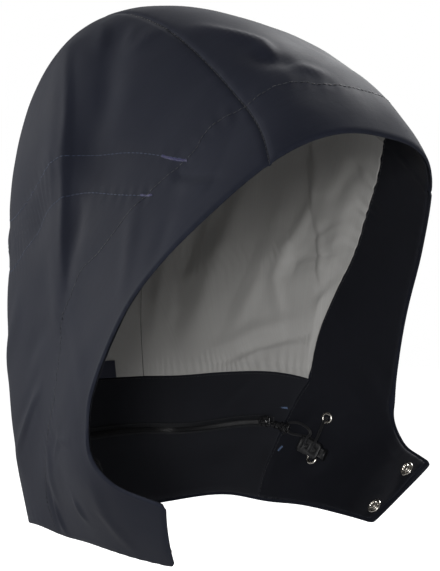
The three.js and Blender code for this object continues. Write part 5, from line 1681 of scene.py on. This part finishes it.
# What each cloth piece is made of and stands for, how it is held and what it rests on
bothSides = ("shellSideRight", "shellSideLeft")
clothRoles = {
    "shellSideRight": ("shellCloth", "shell_cloth", "shell_side_right", "hung", ()),
    "shellSideLeft": ("shellCloth", "shell_cloth", "shell_side_left", "hung", ()),
    "shellCentre": ("shellCloth", "shell_cloth", "shell_centre_panel", "hung", ()),
    "frontFacing": ("facingCloth", "facing_cloth", "front_facing", "hung", bothSides),
    # the neck facing wears a lighter copy of the facing cloth, with painted light in its colour
    "neckFacing": ("litNeckFacingCloth", "facing_cloth", "neck_facing", "hung", bothSides),
    "liningSideRight": ("liningCloth", "lining_cloth", "lining_side_right", "gathered", ("shellSideRight",)),
    "liningSideLeft": ("liningCloth", "lining_cloth", "lining_side_left", "gathered", ("shellSideLeft",)),
    "liningCentre": ("liningCloth", "lining_cloth", "lining_centre_panel", "gathered", ("shellCentre",)),
    "neckLabel": ("labelCloth", "label_cloth", "neck_label", "hung", ("liningCentre",)),
    "zipTape": ("zipTapeCloth", "zip_tape", "zip_tape", "stretched", ("neckFacing",)),
}
# No length is printed that leaves the cloth less than this share of its rectangle. The share is
# picked and not measured, and it sets the length of the shell's sides, both facings and the tape.
leastFill = 0.36
for name, (material, slot, node, held, under) in clothRoles.items():
    dress(pieces[name], material, nodes=(node,))
    width, length, area = cutSizes[name]
    length = min(length, area / (leastFill * width))
    print(f"{name} declared {width:.4f} by {length:.4f} m, area {area:.5f}")
for sideName, (piece, line, length) in cordPieces.items():
    dress(piece, "cordBraid", nodes=("drawcord_" + sideName.lower(),))


# Studio: pale floor, white surroundings, a soft lamp at either side and a weaker one in front
studio = {
    "floorLevel": -0.62,
    "floorDark": (0.34, 0.34, 0.34),
    "floorLight": (0.36, 0.36, 0.36),
    "aim": (0, 0, -0.18),  # where the lamps look
    "surroundings": 0.14,  # how bright the white room lights the hood
    "lamps": [
        {"name": "left", "place": (-1.00, 1.10, 0.35), "size": 0.9, "power": 29},
        {"name": "front", "place": (-1.12, -1.16, -0.12), "size": 0.40, "power": 16},
        {"name": "right", "place": (1.00, 0.00, 1.00), "size": 0.7, "power": 45},
    ],
}
bpy.ops.object.select_all(action="DESELECT")
bpy.ops.mesh.primitive_plane_add(size=16, location=(0, 0, studio["floorLevel"]))
floor = bpy.context.active_object
floor.name = "floor"
paint, tree, base = startMaterial("floorPaint", Roughness=0.9, Specular_IOR_Level=0.1)
place = put(tree, "ShaderNodeTexCoord").outputs["Object"]
patches = noise(tree, place, 3.0, 3.0)
tree.links.new(blended(tree, patches, studio["floorDark"], studio["floorLight"]), base.inputs["Base Color"])
base.inputs["Emission Color"].default_value = (1, 1, 1, 1)
seen = put(tree, "ShaderNodeLightPath").outputs["Is Camera Ray"]
tree.links.new(seen, base.inputs["Emission Strength"])
floor.data.materials.append(paint)
world = bpy.data.worlds.new("studio")
bpy.context.scene.world = world
world.use_nodes = True
sky = world.node_tree.nodes["Background"]
sky.inputs["Color"].default_value = (1, 1, 1, 1)
seen = put(world.node_tree, "ShaderNodeLightPath").outputs["Is Camera Ray"]
lit = ranged(world.node_tree, seen, 0.0, 1.0, studio["surroundings"], 1.0)
world.node_tree.links.new(lit, sky.inputs["Strength"])
for lamp in studio["lamps"]:
    data = bpy.data.lights.new(lamp["name"], "AREA")
    data.size = lamp["size"]
    data.energy = lamp["power"]
    light = bpy.data.objects.new(lamp["name"], data)
    light.location = lamp["place"]
    light.rotation_mode = "QUATERNION"
    light.rotation_quaternion = (Vector(studio["aim"]) - Vector(lamp["place"])).to_track_quat("-Z", "Y")
    bpy.context.scene.collection.objects.link(light)
bpy.context.scene.view_settings.view_transform = "Standard"
